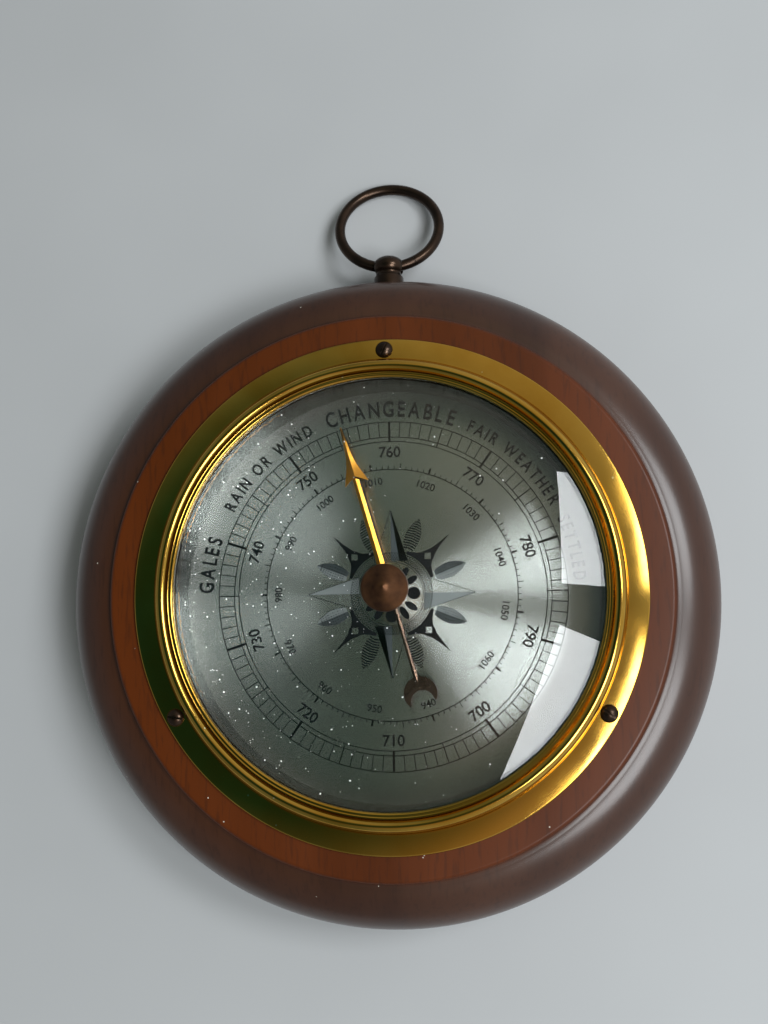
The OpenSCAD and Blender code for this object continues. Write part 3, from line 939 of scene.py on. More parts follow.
@dataclass(frozen=True)
class Finishes:
    """Every material of the barometer."""

    wood: bpy.types.Material
    brass: bpy.types.Material
    plain_brass: bpy.types.Material
    gilt: bpy.types.Material
    bronze: bpy.types.Material
    copper: bpy.types.Material
    steel: bpy.types.Material
    blued: bpy.types.Material
    capsule: bpy.types.Material
    can: bpy.types.Material
    rubber: bpy.types.Material
    dial: bpy.types.Material
    # the wall inside the bezel: silvered metal coloured near black as painted shade
    dial_wall: bpy.types.Material
    ink: bpy.types.Material
    grey_ink: bpy.types.Material
    pale_ink: bpy.types.Material
    dust: bpy.types.Material
    glass: bpy.types.Material

    @classmethod
    def made(cls, flat_radius: float) -> "Finishes":
        """Builds all materials.

        Args:
            flat_radius: Radius of the wooden base's raised flat.

        Returns:
            The materials by name.
        """
        groups = Groups(specks_group(), patches_group(), grain_group())
        metal = {
            "brass": MetalFinish("polished_brass", (0.6, 0.37, 0.075), (0.46, 0.25, 0.035), (0.06, 0.15)),
            "plain_brass": MetalFinish("plain_brass", (0.7, 0.52, 0.22), (0.55, 0.38, 0.14), (0.28, 0.42)),
            "gilt": MetalFinish("gilt_brass", (0.6, 0.28, 0.04), (0.44, 0.18, 0.022), (0.24, 0.38)),
            "bronze": MetalFinish("dark_bronze", (0.06, 0.037, 0.024), (0.02, 0.013, 0.01), (0.2, 0.36),
                                  speck=(0.4, 0.34, 0.26), speck_share=0.05, metallic=0.9, patch=140),
            "copper": MetalFinish("copper_patina", (0.14, 0.062, 0.026), (0.05, 0.021, 0.01), (0.3, 0.46),
                                  speck=(0.5, 0.34, 0.22), speck_share=0.1, metallic=0.85, patch=260),
            "steel": MetalFinish("plain_steel", (0.56, 0.56, 0.57), (0.42, 0.42, 0.43), (0.26, 0.4)),
            "blued": MetalFinish("blued_steel", (0.1, 0.15, 0.34), (0.06, 0.08, 0.2), (0.22, 0.35)),
            "capsule": MetalFinish("nickel_silver", (0.62, 0.6, 0.54), (0.5, 0.47, 0.4), (0.26, 0.4)),
            "can": MetalFinish("spun_aluminium", (0.6, 0.6, 0.59), (0.48, 0.48, 0.47), (0.32, 0.46)),
            "rubber": MetalFinish("black_rubber", (0.03, 0.03, 0.03), (0.02, 0.02, 0.02), (0.6, 0.8),
                                  metallic=0.0),
        }
        built = {name: finish.build(groups) for name, finish in metal.items()}
        return cls(
            wood=WoodFinish(flat_radius).build(groups),
            dial=DialFinish().build(groups),
            # The wall's near-black colour is painted shade in the recess under the bezel, and it also keeps
            # the dial from reflecting a lit wall.
            dial_wall=DialFinish("silvered_wall_painted_shade", (0.12, 0.125, 0.12), (0.07, 0.07, 0.065)).build(groups),
            ink=InkFinish("black_ink", (0.003, 0.003, 0.004), (0.008, 0.008, 0.008), 0.7).build(groups),
            grey_ink=InkFinish("grey_ink", (0.035, 0.04, 0.042), (0.09, 0.095, 0.095), 0.8).build(groups),
            pale_ink=InkFinish("pale_ink", (0.12, 0.13, 0.13), (0.2, 0.21, 0.21), 0.8).build(groups),
            dust=InkFinish("dust", (0.9, 0.91, 0.9), (0.75, 0.75, 0.73), 0.9).build(groups),
            glass=GlassFinish().build(),
            **built,
        )


# Sub-assemblies


@dataclass(frozen=True)
class Sizes:
    """Radii and heights read from the boxes of the frame's nodes."""

    wood_r: float
    wood_h: float
    can_r: float
    flange_r: float
    bezel_top: float
    bezel_low: float
    glass_r: float
    glass_low: float
    dial_r: float
    dial_z: float
    hand_z: float
    set_z: float
    knob_r: float
    knob_low: float
    knob_top: float
    screw_top: float

    @classmethod
    def from_frame(cls) -> "Sizes":
        """Reads the nodes' boxes.

        Returns:
            The sizes in metres.
        """
        box = {name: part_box(name) for name in frame["nodes"]}
        return cls(
            wood_r=box["wood_base"][1][0],
            wood_h=box["wood_base"][1][2],
            can_r=box["dial_ring"][1][0],
            flange_r=box["bezel"][1][0],
            bezel_top=box["bezel"][1][2],
            bezel_low=box["bezel"][0][2],
            glass_r=box["glass"][1][0],
            glass_low=box["glass"][0][2],
            dial_r=box["dial_plate"][1][0],
            dial_z=box["dial_plate"][1][2],
            hand_z=box["indicating_hand"][0][2],
            set_z=box["set_hand"][0][2],
            knob_r=box["set_knob"][1][0],
            knob_low=box["set_knob"][0][2],
            knob_top=box["set_knob"][1][2],
            screw_top=box["bezel_screws"][1][2],
        )


@dataclass
class WoodenBase:
    """The turned base: a flat back, a broad rounded moulding and a raised flat."""

    sizes: Sizes
    finishes: Finishes
    flat_r: float = 78.2 * MM
    back_r: float = 84 * MM
    step: float = 2.2 * MM
    widest: float = 17 * MM
    shoulder: float = 1.4 * MM
    bore_r: float = 60.6 * MM
    rebate_r: float = 64.6 * MM
    rebate: float = 0.8 * MM
    cove: float = 0.7 * MM
    lap: float = 0.05 * MM
    foot: Point = (0.2 * MM, 0.1 * MM)
    chamfer: float = 0.4 * MM

    def profile(self) -> list[Point]:
        """Draws the outline from the bore's foot over the top to the back.

        Returns:
            The closed outline.
        """
        top, outer = self.sizes.wood_h, self.sizes.wood_r
        fall = (outer - self.flat_r, top - self.step - self.widest)
        under = (outer - self.back_r, self.widest)
        return [
            (self.bore_r, 0),
            (self.bore_r, top - self.rebate),
            (self.rebate_r, top - self.rebate),
            (self.rebate_r, top),
            *arc((self.flat_r - self.shoulder, top - self.shoulder), (self.shoulder,) * 2, 90, 0, 12),
            (self.flat_r + self.lap, top - self.step + self.cove * 0.25),
            (self.flat_r + self.cove * 0.5, top - self.step),
            *arc((self.flat_r, self.widest), fall, 84, 0, 40),
            *arc((self.back_r, self.widest), under, -4, -84, 20),
            (self.back_r + self.foot[0], self.foot[1]),
            (self.back_r - self.chamfer, 0),
            (self.bore_r, 0),
        ]

    def build(self) -> None:
        """Turns the base."""
        base = turned("turned_base", self.profile(), smooth=50)
        carry(base, self.finishes.wood, Body.CASE, Slot.WOOD, "wood_base")


@dataclass
class Bezel:
    """The spun brass bezel with its bead and lip, its screws, and the wall inside it, its silvered metal
    darkened as painted shade.

    The groove gives steps from the bead's foot in millimetres.
    """

    sizes: Sizes
    finishes: Finishes
    window_r: float = 58.8 * MM
    lip: float = 1.4 * MM
    bead: float = 4.4 * MM
    flange_rise: float = 0.7 * MM
    flange: float = 0.8 * MM
    flange_edge: Point = (0.55 * MM, 0.25 * MM)
    groove: tuple[Point, ...] = ((1.0, -0.06), (0.35, 0), (0.12, -0.18))
    sheet: float = 0.8 * MM
    lip_z: float = 36.0 * MM
    lip_top: Point = (0.05 * MM, 1.35 * MM)
    lip_edge: Point = (0.75 * MM, 0.62 * MM)
    lip_edge_z: float = 0.6 * MM
    lip_back: float = 0.6 * MM
    wall_gap: float = 0.1 * MM
    screws_r: float = 67.5 * MM
    screws: int = 3
    head_r: float = 2.5 * MM
    head_h: float = 1.9 * MM
    slot_w: float = 0.6 * MM
    slot_d: float = 0.8 * MM
    slot_turns: tuple[float, ...] = (-62, 38, 8)
    skirt: Point = (0.1 * MM, 0.6 * MM)
    soft: float = 0.06 * MM

    def profile(self) -> list[Point]:
        """Draws the sheet's outline, in along the top and out along the underside.

        Returns:
            The closed outline.
        """
        low = self.sizes.bezel_low
        edge = low + self.flange
        foot = edge + self.flange_rise
        inner = self.window_r + self.lip
        middle = inner + self.bead / 2
        outer = inner + self.bead
        high = self.sizes.bezel_top - foot
        rim_r, drop = self.flange_edge
        lip_middle = (self.window_r + self.lip_edge[0], self.lip_z + self.lip_edge_z)
        return [
            (self.sizes.flange_r, low),
            *arc((self.sizes.flange_r - rim_r, edge - drop), (rim_r, rim_r), 0, 84, 8),
            *[(outer + out, foot + up) for out, up in mm(self.groove)],
            *arc((middle, foot), (self.bead / 2, high), 0, 148, 28),
            (inner - self.lip_top[0], self.lip_z + self.lip_top[1]),
            *arc(lip_middle, self.lip_edge, 70, 180, 10),
            (self.window_r, self.lip_z),
            (inner + self.lip_back, self.lip_z),
            *arc((middle, foot), (self.bead / 2 - self.sheet, high - self.sheet), 120, 0, 12),
            (outer - self.sheet, low),
            (self.sizes.flange_r, low),
        ]

    def screw(self) -> bpy.types.Object:
        """Makes one round-head screw with its slot, standing at the origin.

        Returns:
            The screw.
        """
        inset, under = self.skirt
        profile = [(0, -under), (self.head_r - inset, -under), (self.head_r, 0),
                   *arc((0, 0), (self.head_r, self.head_h), 6, 90, 12)]
        head = turned("screw_head", profile, SMALL_STEPS)
        deselect()
        bpy.ops.mesh.primitive_cube_add(size=1, location=(0, 0, self.head_h))
        cutter = bpy.context.object
        cutter.scale = (3 * self.head_r, self.slot_w, 2 * self.slot_d)
        bpy.ops.object.transform_apply(location=True, rotation=True, scale=True)
        cut_out(head, cutter)
        return bevelled(head, self.soft)

    def build(self) -> None:
        """Spins the bezel, stands the wall under it and sets the screws."""
        bezel = turned("spun_bezel", self.profile(), smooth=40)
        carry(bezel, self.finishes.brass, Body.CASE, Slot.BRASS, "bezel")
        low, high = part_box("dial_ring")
        wall = band(self.window_r + self.wall_gap, self.sizes.can_r, low.z, high.z)
        # The wall's near-black colour is painted shade.
        carry(turned("dial_wall", wall), self.finishes.dial_wall, Body.CASE, Slot.DIAL, "dial_ring")
        head = self.screw()
        seat = self.sizes.screw_top - self.head_h
        parts = []
        for i in range(self.screws):
            there = at_clock(i * 360 / self.screws, self.screws_r, seat, self.slot_turns[i])
            parts.append(copied(head, there))
        bpy.data.objects.remove(head)
        heads = joined("bezel_screw_heads", parts)
        carry(heads, self.finishes.bronze, Body.CASE, Slot.BRONZE, "bezel_screws")


@dataclass
class DomedGlass:
    """The domed glass, bored for the knob's spindle, and the dust on it."""

    sizes: Sizes
    finishes: Finishes
    thick: float = 2 * MM
    rise: float = 6.5 * MM
    bore: float = 1.56 * MM
    rings: int = 40
    specks: int = 400
    seed: int = 11
    dust_r: float = 57 * MM
    dust_angles: tuple[float, float, float] = (-240, 60, -110)
    dust_sizes: tuple[float, ...] = (0.06 * MM, 0.07 * MM, 0.08 * MM, 0.1 * MM, 0.13 * MM, 0.2 * MM)
    dust_lift: float = 0.02 * MM

    @property
    def dome_r(self) -> float:
        """Radius of the inner sphere."""
        return (self.sizes.glass_r**2 + self.rise**2) / (2 * self.rise)

    def height(self, r: float) -> float:
        """Height of the outer face at a distance from the axis."""
        apex = self.sizes.glass_low + self.rise + self.thick
        return apex - self.dome_r + math.sqrt(self.dome_r**2 - r * r)

    def build(self) -> None:
        """Turns the dome and scatters the dust."""
        wide = self.sizes.glass_r - self.bore
        radii = [self.bore + wide * i / self.rings for i in range(self.rings + 1)]
        inner = [(r, self.height(r) - self.thick) for r in radii]
        outer = [(r, self.height(r)) for r in reversed(radii)]
        dome = turned("domed_glass", [*inner, *outer, inner[0]], smooth=50)
        carry(dome, self.finishes.glass, Body.CASE, Slot.GLASS, "glass")
        self.dust()

    def dust(self) -> None:
        """Lays small flat grains of dust on the dome, most of them at the left."""
        chance = random.Random(self.seed)
        deselect()
        bpy.ops.mesh.primitive_circle_add(vertices=5, radius=1, fill_type="NGON")
        grain = bpy.context.object
        grains = []
        for _ in range(self.specks):
            r = math.sqrt(chance.uniform(0.03, 1)) * self.dust_r
            angle = chance.triangular(*self.dust_angles)
            size = chance.choice(self.dust_sizes)
            stretch = Matrix.Diagonal((size, size * chance.uniform(0.6, 1.6), 1, 1))
            spot = at_clock(angle, r, self.height(r) + self.dust_lift, chance.uniform(0, 360))
            grains.append(copied(grain, spot @ stretch))
        bpy.data.objects.remove(grain)
        carry(joined("glass_dust", grains), self.finishes.dust, Body.CASE, Slot.DIAL)


@dataclass(frozen=True)
class Scale:
    """A scale of the dial and how its figures are printed.

    The value at_top stands at the top of the dial, and one unit takes a number of degrees. The figures'
    tops point outward between the two angles of upright, and inward elsewhere.
    """

    values: range
    at_top: float
    degrees: float
    figure_r: float
    figure_h: float
    weight: float
    upright: Point

    def angle(self, value: float) -> float:
        """The clock angle of a value."""
        return (value - self.at_top) * self.degrees

    def every(self, step: int) -> list[int]:
        """The values that a step divides."""
        return [value for value in self.values if value % step == 0]


@dataclass(frozen=True)
class Word:
    """A word along a circle.

    It has the clock angle and the radius of its middle, the height of its capitals, how far its strokes
    are thickened, and the space between its letters as a share of their height.
    """

    text: str
    middle: float
    radius: float
    height: float
    weight: float
    gap: float = 0.24


@dataclass
class Dial:
    """The dial plate and all that is printed on it."""

    sizes: Sizes
    finishes: Finishes
    outer_r: float = 50 * MM
    middle_r: float = 45.5 * MM
    inner_r: float = 44.2 * MM
    hecto_r: float = 36.0 * MM
    line: float = 0.24 * MM
    bold: float = 0.68 * MM
    film: float = 0.02 * MM
    ink_gap: float = 0.005 * MM
    hole_r: float = 2 * MM
    thick: float = 0.5 * MM
    rim: float = 0.08 * MM
    capital: float = 0.73
    outer_scale: Scale = Scale(range(700, 800), 760, 3.6, 41.2 * MM, 3.2 * MM, 0.07 * MM, (-120, 120))
    inner_scale: Scale = Scale(range(934, 1067), 1013.25, 2.7, 32.7 * MM, 2.15 * MM, 0.035 * MM, (-100, 110))
    inner_ticks: tuple[float, ...] = (0.95 * MM, 1.7 * MM, 1.8 * MM)
    weather: tuple[Word, ...] = (
        Word("CHANGEABLE", 0.5, 54.0 * MM, 4.7 * MM, 0.12 * MM),
        Word("GALES", -80, 53.9 * MM, 4.4 * MM, 0.12 * MM, gap=0.22),
        Word("RAIN OR WIND", -43.5, 53.7 * MM, 3.6 * MM, 0.102 * MM),
        Word("FAIR WEATHER", 44, 53.7 * MM, 3.6 * MM, 0.102 * MM),
        Word("SETTLED", 77, 53.7 * MM, 3.6 * MM, 0.102 * MM),
    )
    figure_narrow: float = 0.98
    word_narrow: float = 0.74
    space: float = 0.3
    dash_half: float = 0.14 * MM
    dash: float = 0.58
    rose_circles: tuple[float, ...] = (9.1 * MM, 9.6 * MM, 11.7 * MM)
    rose_line: float = 0.16 * MM
    check_rows: tuple[float, ...] = (9.9 * MM, 10.4 * MM, 10.9 * MM, 11.4 * MM)
    check_half: float = 0.2 * MM
    check_w: float = 0.32 * MM
    checks: int = 96

    def __post_init__(self) -> None:
        """Starts the lists of printed parts."""
        self.printed: dict[Ink, list[bpy.types.Object]] = {ink: [] for ink in Ink}

    @property
    def face(self) -> float:
        """Height at which the ink lies."""
        return self.sizes.dial_z + self.ink_gap

    def circle(self, radius: float, width: float) -> None:
        """Prints a thin circle.

        Args:
            radius: Its middle radius.
            width: Its line width.
        """
        ring = band(radius - width / 2, radius + width / 2, self.face, self.face + self.film)
        self.printed[Ink.BLACK].append(turned("printed_circle", ring))

    def ticks(self, inner: float, outer: float, width: float, start: float, step: float,
              count: int) -> None:
        """Prints evenly spaced marks.

        Args:
            inner: Radius at which a mark starts.
            outer: Radius at which it ends.
            width: Its width.
            start: Clock angle of the first mark.
            step: Angle from one mark to the next.
            count: Number of marks.
        """
        deselect()
        bpy.ops.mesh.primitive_cube_add(size=1)
        mark = bpy.context.object
        place(mark, Matrix.Translation((0, (inner + outer) / 2, self.face + self.film / 2))
              @ Matrix.Diagonal((width, outer - inner, self.film, 1)))
        place(mark, about_z(start))
        edit(mark)
        turn = -math.radians(step * (count - 1))
        bpy.ops.mesh.spin(steps=count - 1, angle=turn, dupli=True, center=(0, 0, 0), axis=(0, 0, -1))
        close()
        self.printed[Ink.BLACK].append(mark)

    def letters(self, text: str, height: float, narrow: float, weight: float) -> bpy.types.Object:
        """Makes flat letters with their middle at the origin.

        Args:
            text: What they say.
            height: Height of a capital or a figure.
            narrow: Width as a share of the usual width.
            weight: How far the strokes are thickened.

        Returns:
            The letters as a mesh.
        """
        deselect()
        bpy.ops.object.text_add()
        words = bpy.context.object
        words.data.body = text
        words.data.align_x = "CENTER"
        words.data.size = height / self.capital
        words.data.offset = weight
        words.data.extrude = self.film / 2
        words.data.resolution_u = 4
        bpy.ops.object.convert(target="MESH")
        words = bpy.context.object
        lift = self.face + self.film / 2
        return place(words, Matrix.Translation((0, -height / 2, lift)) @ Matrix.Diagonal((narrow, 1, 1, 1)))

    def numbers(self, scale: Scale) -> None:
        """Prints every tenth value of a scale on its radius.

        Args:
            scale: The scale.
        """
        low, high = scale.upright
        for value in scale.every(10):
            angle = scale.angle(value)
            side = Side.OUTWARD if low < angle < high else Side.INWARD
            mark = self.letters(str(value), scale.figure_h, self.figure_narrow, scale.weight)
            place(mark, at_clock(angle, scale.figure_r, 0, angle + side.value))
            self.printed[Ink.BLACK].append(mark)

    def word(self, word: Word) -> None:
        """Prints a word along its circle, letter by letter.

        Args:
            word: The word.
        """
        height, gap = word.height, word.gap * word.height
        glyphs = [self.letters(c, height, self.word_narrow, word.weight) if c != " " else None
                  for c in word.text]
        widths = [g.dimensions.x if g else height * self.space for g in glyphs]
        total = sum(widths) + gap * (len(word.text) - 1)
        along = -total / 2
        for glyph, width in zip(glyphs, widths):
            angle = word.middle + math.degrees((along + width / 2) / word.radius)
            along += width + gap
            if glyph:
                place(glyph, at_clock(angle, word.radius, 0, angle))
                self.printed[Ink.BLACK].append(glyph)

    def scales(self) -> None:
        """Prints both scales with their figures."""
        for radius in (self.outer_r, self.middle_r, self.inner_r, self.hecto_r):
            self.circle(radius, self.line)
        outer, inner = self.outer_scale, self.inner_scale
        rings = ((1, self.middle_r, self.line), (5, self.inner_r, self.line * 1.2),
                 (10, self.inner_r, self.bold))
        for every, start_r, width in rings:
            self.ticks(start_r, self.outer_r, width, 0, every * outer.degrees, len(outer.values) // every)
        self.numbers(outer)
        widths = (self.line, self.line, self.bold * 0.8)
        for every, length, width in zip((1, 5, 10), self.inner_ticks, widths):
            values = inner.every(every)
            start, step = inner.angle(values[0]), every * inner.degrees
            self.ticks(self.hecto_r, self.hecto_r + length, width, start, step, len(values))
        self.numbers(inner)

    def words(self) -> None:
        """Prints the usual weather words round the outer scale."""
        for word in self.weather:
            self.word(word)

    def flat(self, outline: Sequence[Point], turn: float, ink: Ink = Ink.BLACK) -> None:
        """Prints a filled shape.

        Args:
            outline: Its corners, drawn as at the top of the dial.
            turn: Clock angle that it is turned to.
            ink: The ink that it takes.
        """
        shape = place(plate("printed_shape", outline, self.face, self.face + self.film), about_z(turn))
        self.printed[ink].append(shape)

    def dots(self, start: Point, stop: Point, count: int, turn: float) -> None:
        """Prints a dotted line.

        Args:
            start: Its first end.
            stop: Its last end.
            count: Number of dashes.
            turn: Clock angle that it is turned to.
        """
        along = Vector(stop) - Vector(start)
        side = Vector((along.y, -along.x)).normalized() * self.dash_half
        for i in range(count):
            a = Vector(start) + along * (i / count)
            b = Vector(start) + along * ((i + self.dash) / count)
            self.flat([tuple(a - side), tuple(a + side), tuple(b + side), tuple(b - side)], turn)

    def rose_point(self, turn: float, dark: bool) -> None:
        """Prints one long point of the rose, half plain and half shaded.

        Args:
            turn: Clock angle of the point.
            dark: Whether its shaded half darkens toward its edge.
        """
        tip, base, half = (0, 24.1 * MM), 9.3 * MM, 4.75 * MM
        self.flat([(0, base), (half, base), tip], turn, Ink.GREY if dark else Ink.PALE)
        if dark:
            foot = (half * 0.5, base)
            self.flat([foot, (half, base), tip], turn)
        self.dots((-half, base), tip, 22, turn)
        self.dots((half, base), tip, 22, turn)

    def rose_spike(self, turn: float) -> None:
        """Prints one dark spike with its arch, and the plain diamond in it.

        Args:
            turn: Clock angle of the spike.
        """
        inner = [clock(a, 12 * MM) for a in range(0, 26, 4)]
        arch = ((24, 12.9), (17, 13.3), (11, 13.9), (7.4, 14.8))
        outer = [clock(a, r * MM) for a, r in arch]
        tip = mm([(1.62, 15.6), (0.92, 17.0), (0.42, 19.6), (0.05, 23.4), (0.0, 23.4)])
        diamond = mm([(0.0, 16.2), (1.2, 14.9), (0.0, 13.6)])
        half = [*inner, *outer, *tip, *diamond]
        self.flat(half, turn)
        self.flat([(-x, y) for x, y in half], turn)

    def rose_leaf(self, turn: float, striped: bool) -> None:
        """Prints one leaf between a point and a spike.

        Args:
            turn: Clock angle of the leaf.
            striped: Whether it is drawn in stripes or in two greys.
        """
        low, high, wide = 13.6 * MM, 23.0 * MM, 2.25 * MM

        def half_width(y: float) -> float:
            """Half the leaf's width at a radius."""
            t = (y - low) / (high - low)
            return wide * math.sin(math.pi * min(1.0, 0.16 + 0.84 * t)) ** 0.75

        if striped:
            count, stripe, slant = 13, 0.38 * MM, 0.3 * MM
            for i in range(count):
                y = low + (high - low) * (i + 0.2) / count
                w = half_width(y + 0.2 * MM)
                top = y + stripe
                self.flat([(-w, y - slant), (0, y), (w, y - slant), (w, top - slant), (0, top),
                           (-w, top - slant)], turn)
            return
        steps = 10
        edge = [(half_width(low + (high - low) * i / steps), low + (high - low) * i / steps)
                for i in range(steps + 1)]
        shaded = 1 if turn % 180 > 90 else -1
        self.flat([(0, low), *[(shaded * x, y) for x, y in edge]], turn, Ink.GREY)
        self.flat([(0, low), *[(-shaded * x * 0.9, y) for x, y in edge]], turn, Ink.PALE)
        for share in (-0.9, -0.55, -0.2, 0.2, 0.6, 1.0):
            line = [(share * x, y) for x, y in edge]
            self.dots(line[1], line[5], 5, turn)
            self.dots(line[5], line[-2], 5, turn)

    def rose(self) -> None:
        """Prints the sixteen-pointed compass rose."""
        petal = arc((0, 6.7 * MM), (0.95 * MM, 2.1 * MM), 0, 360, 12)[:-1]
        bud = arc((0, 6.4 * MM), (1.75 * MM, 1.9 * MM), 0, 360, 16)[:-1]
        for quarter in range(4):
            turn = 90 * quarter
            self.rose_point(turn, dark=quarter % 2 == 0)
            self.rose_spike(turn + 45)
            for offset in (-22.5, 22.5):
                self.rose_leaf(turn + offset * 0.95, striped=quarter % 2 == 0)
            for offset in (-12, 12):
                self.flat(petal, turn + 45 + offset)
            self.flat(bud, turn)
        for radius in self.rose_circles:
            self.circle(radius, self.rose_line)
        step = 360 / self.checks
        for row, radius in enumerate(self.check_rows):
            start = row * 180 / self.checks
            low, high = radius - self.check_half, radius + self.check_half
            self.ticks(low, high, self.check_w, start, step, self.checks)

    def build(self) -> None:
        """Turns the plate, prints it and lays the parts on it."""
        low, high, radius = self.sizes.dial_z - self.thick, self.sizes.dial_z, self.sizes.dial_r
        profile = [(self.hole_r, low), (radius, low), (radius, high - self.rim), (radius - self.rim, high),
                   *[(self.hole_r + (radius - self.hole_r) * k / 6, high) for k in range(5, 0, -1)],
                   (self.hole_r, high), (self.hole_r, low)]
        carry(turned("spun_dial", profile), self.finishes.dial, Body.CASE, Slot.DIAL, "dial_plate")
        self.scales()
        self.words()
        self.rose()
        f = self.finishes
        inks = {Ink.BLACK: f.ink, Ink.GREY: f.grey_ink, Ink.PALE: f.pale_ink}
        for ink, shapes in self.printed.items():
            carry(joined(f"dial_print_{ink.value}", shapes), inks[ink], Body.CASE, Slot.DIAL)


@dataclass
class Hands:
    """The indicating hand, the set hand over it and the knob outside the glass.

    Rows of a blade give distance and half width, and hubs give radius and height, in millimetres. The
    knob's edge gives steps from its radius and foot in millimetres, and its cone shares of both sizes.
    """

    sizes: Sizes
    finishes: Finishes
    reading: float = -15.8
    front_rows: tuple[Point, ...] = ((1.5, 0.8), (20, 0.76), (36, 0.7), (42, 0.5), (49, 0.06))
    tail_rows: tuple[Point, ...] = ((1.5, 0.62), (14, 0.5), (25.6, 0.62))
    hand_hub: tuple[Point, ...] = ((0.82, 0), (2.4, 0), (2.4, 0.3), (1.5, 0.9), (0.82, 0.9), (0.82, 0))
    sheet: float = 0.22 * MM
    sheet_lift: float = 0.12 * MM
    front_ridge: float = 0.26 * MM
    tail_ridge: float = 0.2 * MM
    crescent: float = 29.3 * MM
    crescent_r: float = 4.75 * MM
    crescent_t: float = 0.3 * MM
    bite_r: float = 3.25 * MM
    bite_drop: float = 0.9 * MM
    horn_share: float = 0.66
    soft: float = 0.07 * MM
    shaft_rows: tuple[Point, ...] = ((1.8, 1.15), (14, 0.98), (34.6, 0.8))
    head_rows: tuple[Point, ...] = ((31.7, 3.4), (33.2, 2.95), (35, 2.2), (37, 1.5), (39.2, 0.98),
                                    (41.5, 0.68), (44.5, 0.46), (48.5, 0.1))
    set_hub: tuple[Point, ...] = ((1.52, 0), (2.7, 0), (2.9, 0.2), (2.9, 1.6), (2.6, 2), (1.52, 2),
                                  (1.52, 0))
    set_sheet: float = 0.24 * MM
    set_lift: float = 0.14 * MM
    set_ridge: float = 0.34 * MM
    head_lap: float = 0.02 * MM
    barb: float = 2.1 * MM
    edge: tuple[Point, ...] = ((-0.6, 0), (-0.12, 0.25), (0, 0.7), (0, 1.2), (-0.2, 1.65))
    tip_r: float = 0.02 * MM
    cone: tuple[Point, ...] = ((0.9, 0.33), (0.7, 0.53), (0.46, 0.74), (0.26, 0.9), (0.13, 0.97))

    def indicating(self) -> None:
        """Makes the dark hand with its crescent tail."""
        z = self.sizes.hand_z
        lift = z + self.sheet_lift
        front = blade("hand_front", mm(self.front_rows), self.front_ridge, lift, self.sheet)
        tail = blade("hand_tail", mm(self.tail_rows), self.tail_ridge, lift, self.sheet)
        place(tail, about_z(180))
        middle = -self.crescent
        bite = middle - (self.crescent_r - self.bite_r + self.bite_drop)
        meet = math.degrees(math.asin(self.horn_share))
        outline = [*arc((0, middle), (self.crescent_r,) * 2, -meet, 180 + meet, 40),
                   *arc((0, bite), (self.bite_r,) * 2, 158, 22, 24)]
        horns = bevelled(plate("hand_crescent", outline, z, z + self.crescent_t), self.soft)
        hub = turned("hand_hub", mm(self.hand_hub, z), SMALL_STEPS)
        hand = place(joined("pointer_hand", [hub, front, tail, horns]), about_z(self.reading))
        carry(hand, self.finishes.bronze, Body.POINTER, Slot.BRONZE, "indicating_hand")

    def setting(self) -> None:
        """Makes the gilt set hand with its barbed head."""
        z = self.sizes.set_z
        ridge, lift, sheet = self.set_ridge, z + self.set_lift, self.set_sheet
        shaft = blade("set_shaft", mm(self.shaft_rows), ridge, lift, sheet)
        head = blade("set_head", mm(self.head_rows), ridge, lift + self.head_lap, sheet, notch=self.barb)
        hub = turned("set_hub", mm(self.set_hub, z), SMALL_STEPS)
        hand = place(joined("set_hand_gilt", [hub, shaft, head]), about_z(self.reading))
        carry(hand, self.finishes.gilt, Body.SET_HAND, Slot.GILT, "set_hand")

    def knob(self) -> None:
        """Turns the low cone of the knob."""
        r, low = self.sizes.knob_r, self.sizes.knob_low
        high = self.sizes.knob_top - low
        profile = [(0, low), *[(r + out, low + up) for out, up in mm(self.edge)],
                   *[(r * wide, low + high * up) for wide, up in self.cone], (self.tip_r, low + high)]
        cone = turned("knob_cone", profile, steps=96, smooth=60)
        carry(cone, self.finishes.copper, Body.SET_HAND, Slot.COPPER, "set_knob")

    def build(self) -> None:
        """Makes both hands and the knob."""
        self.indicating()
        self.setting()
        self.knob()


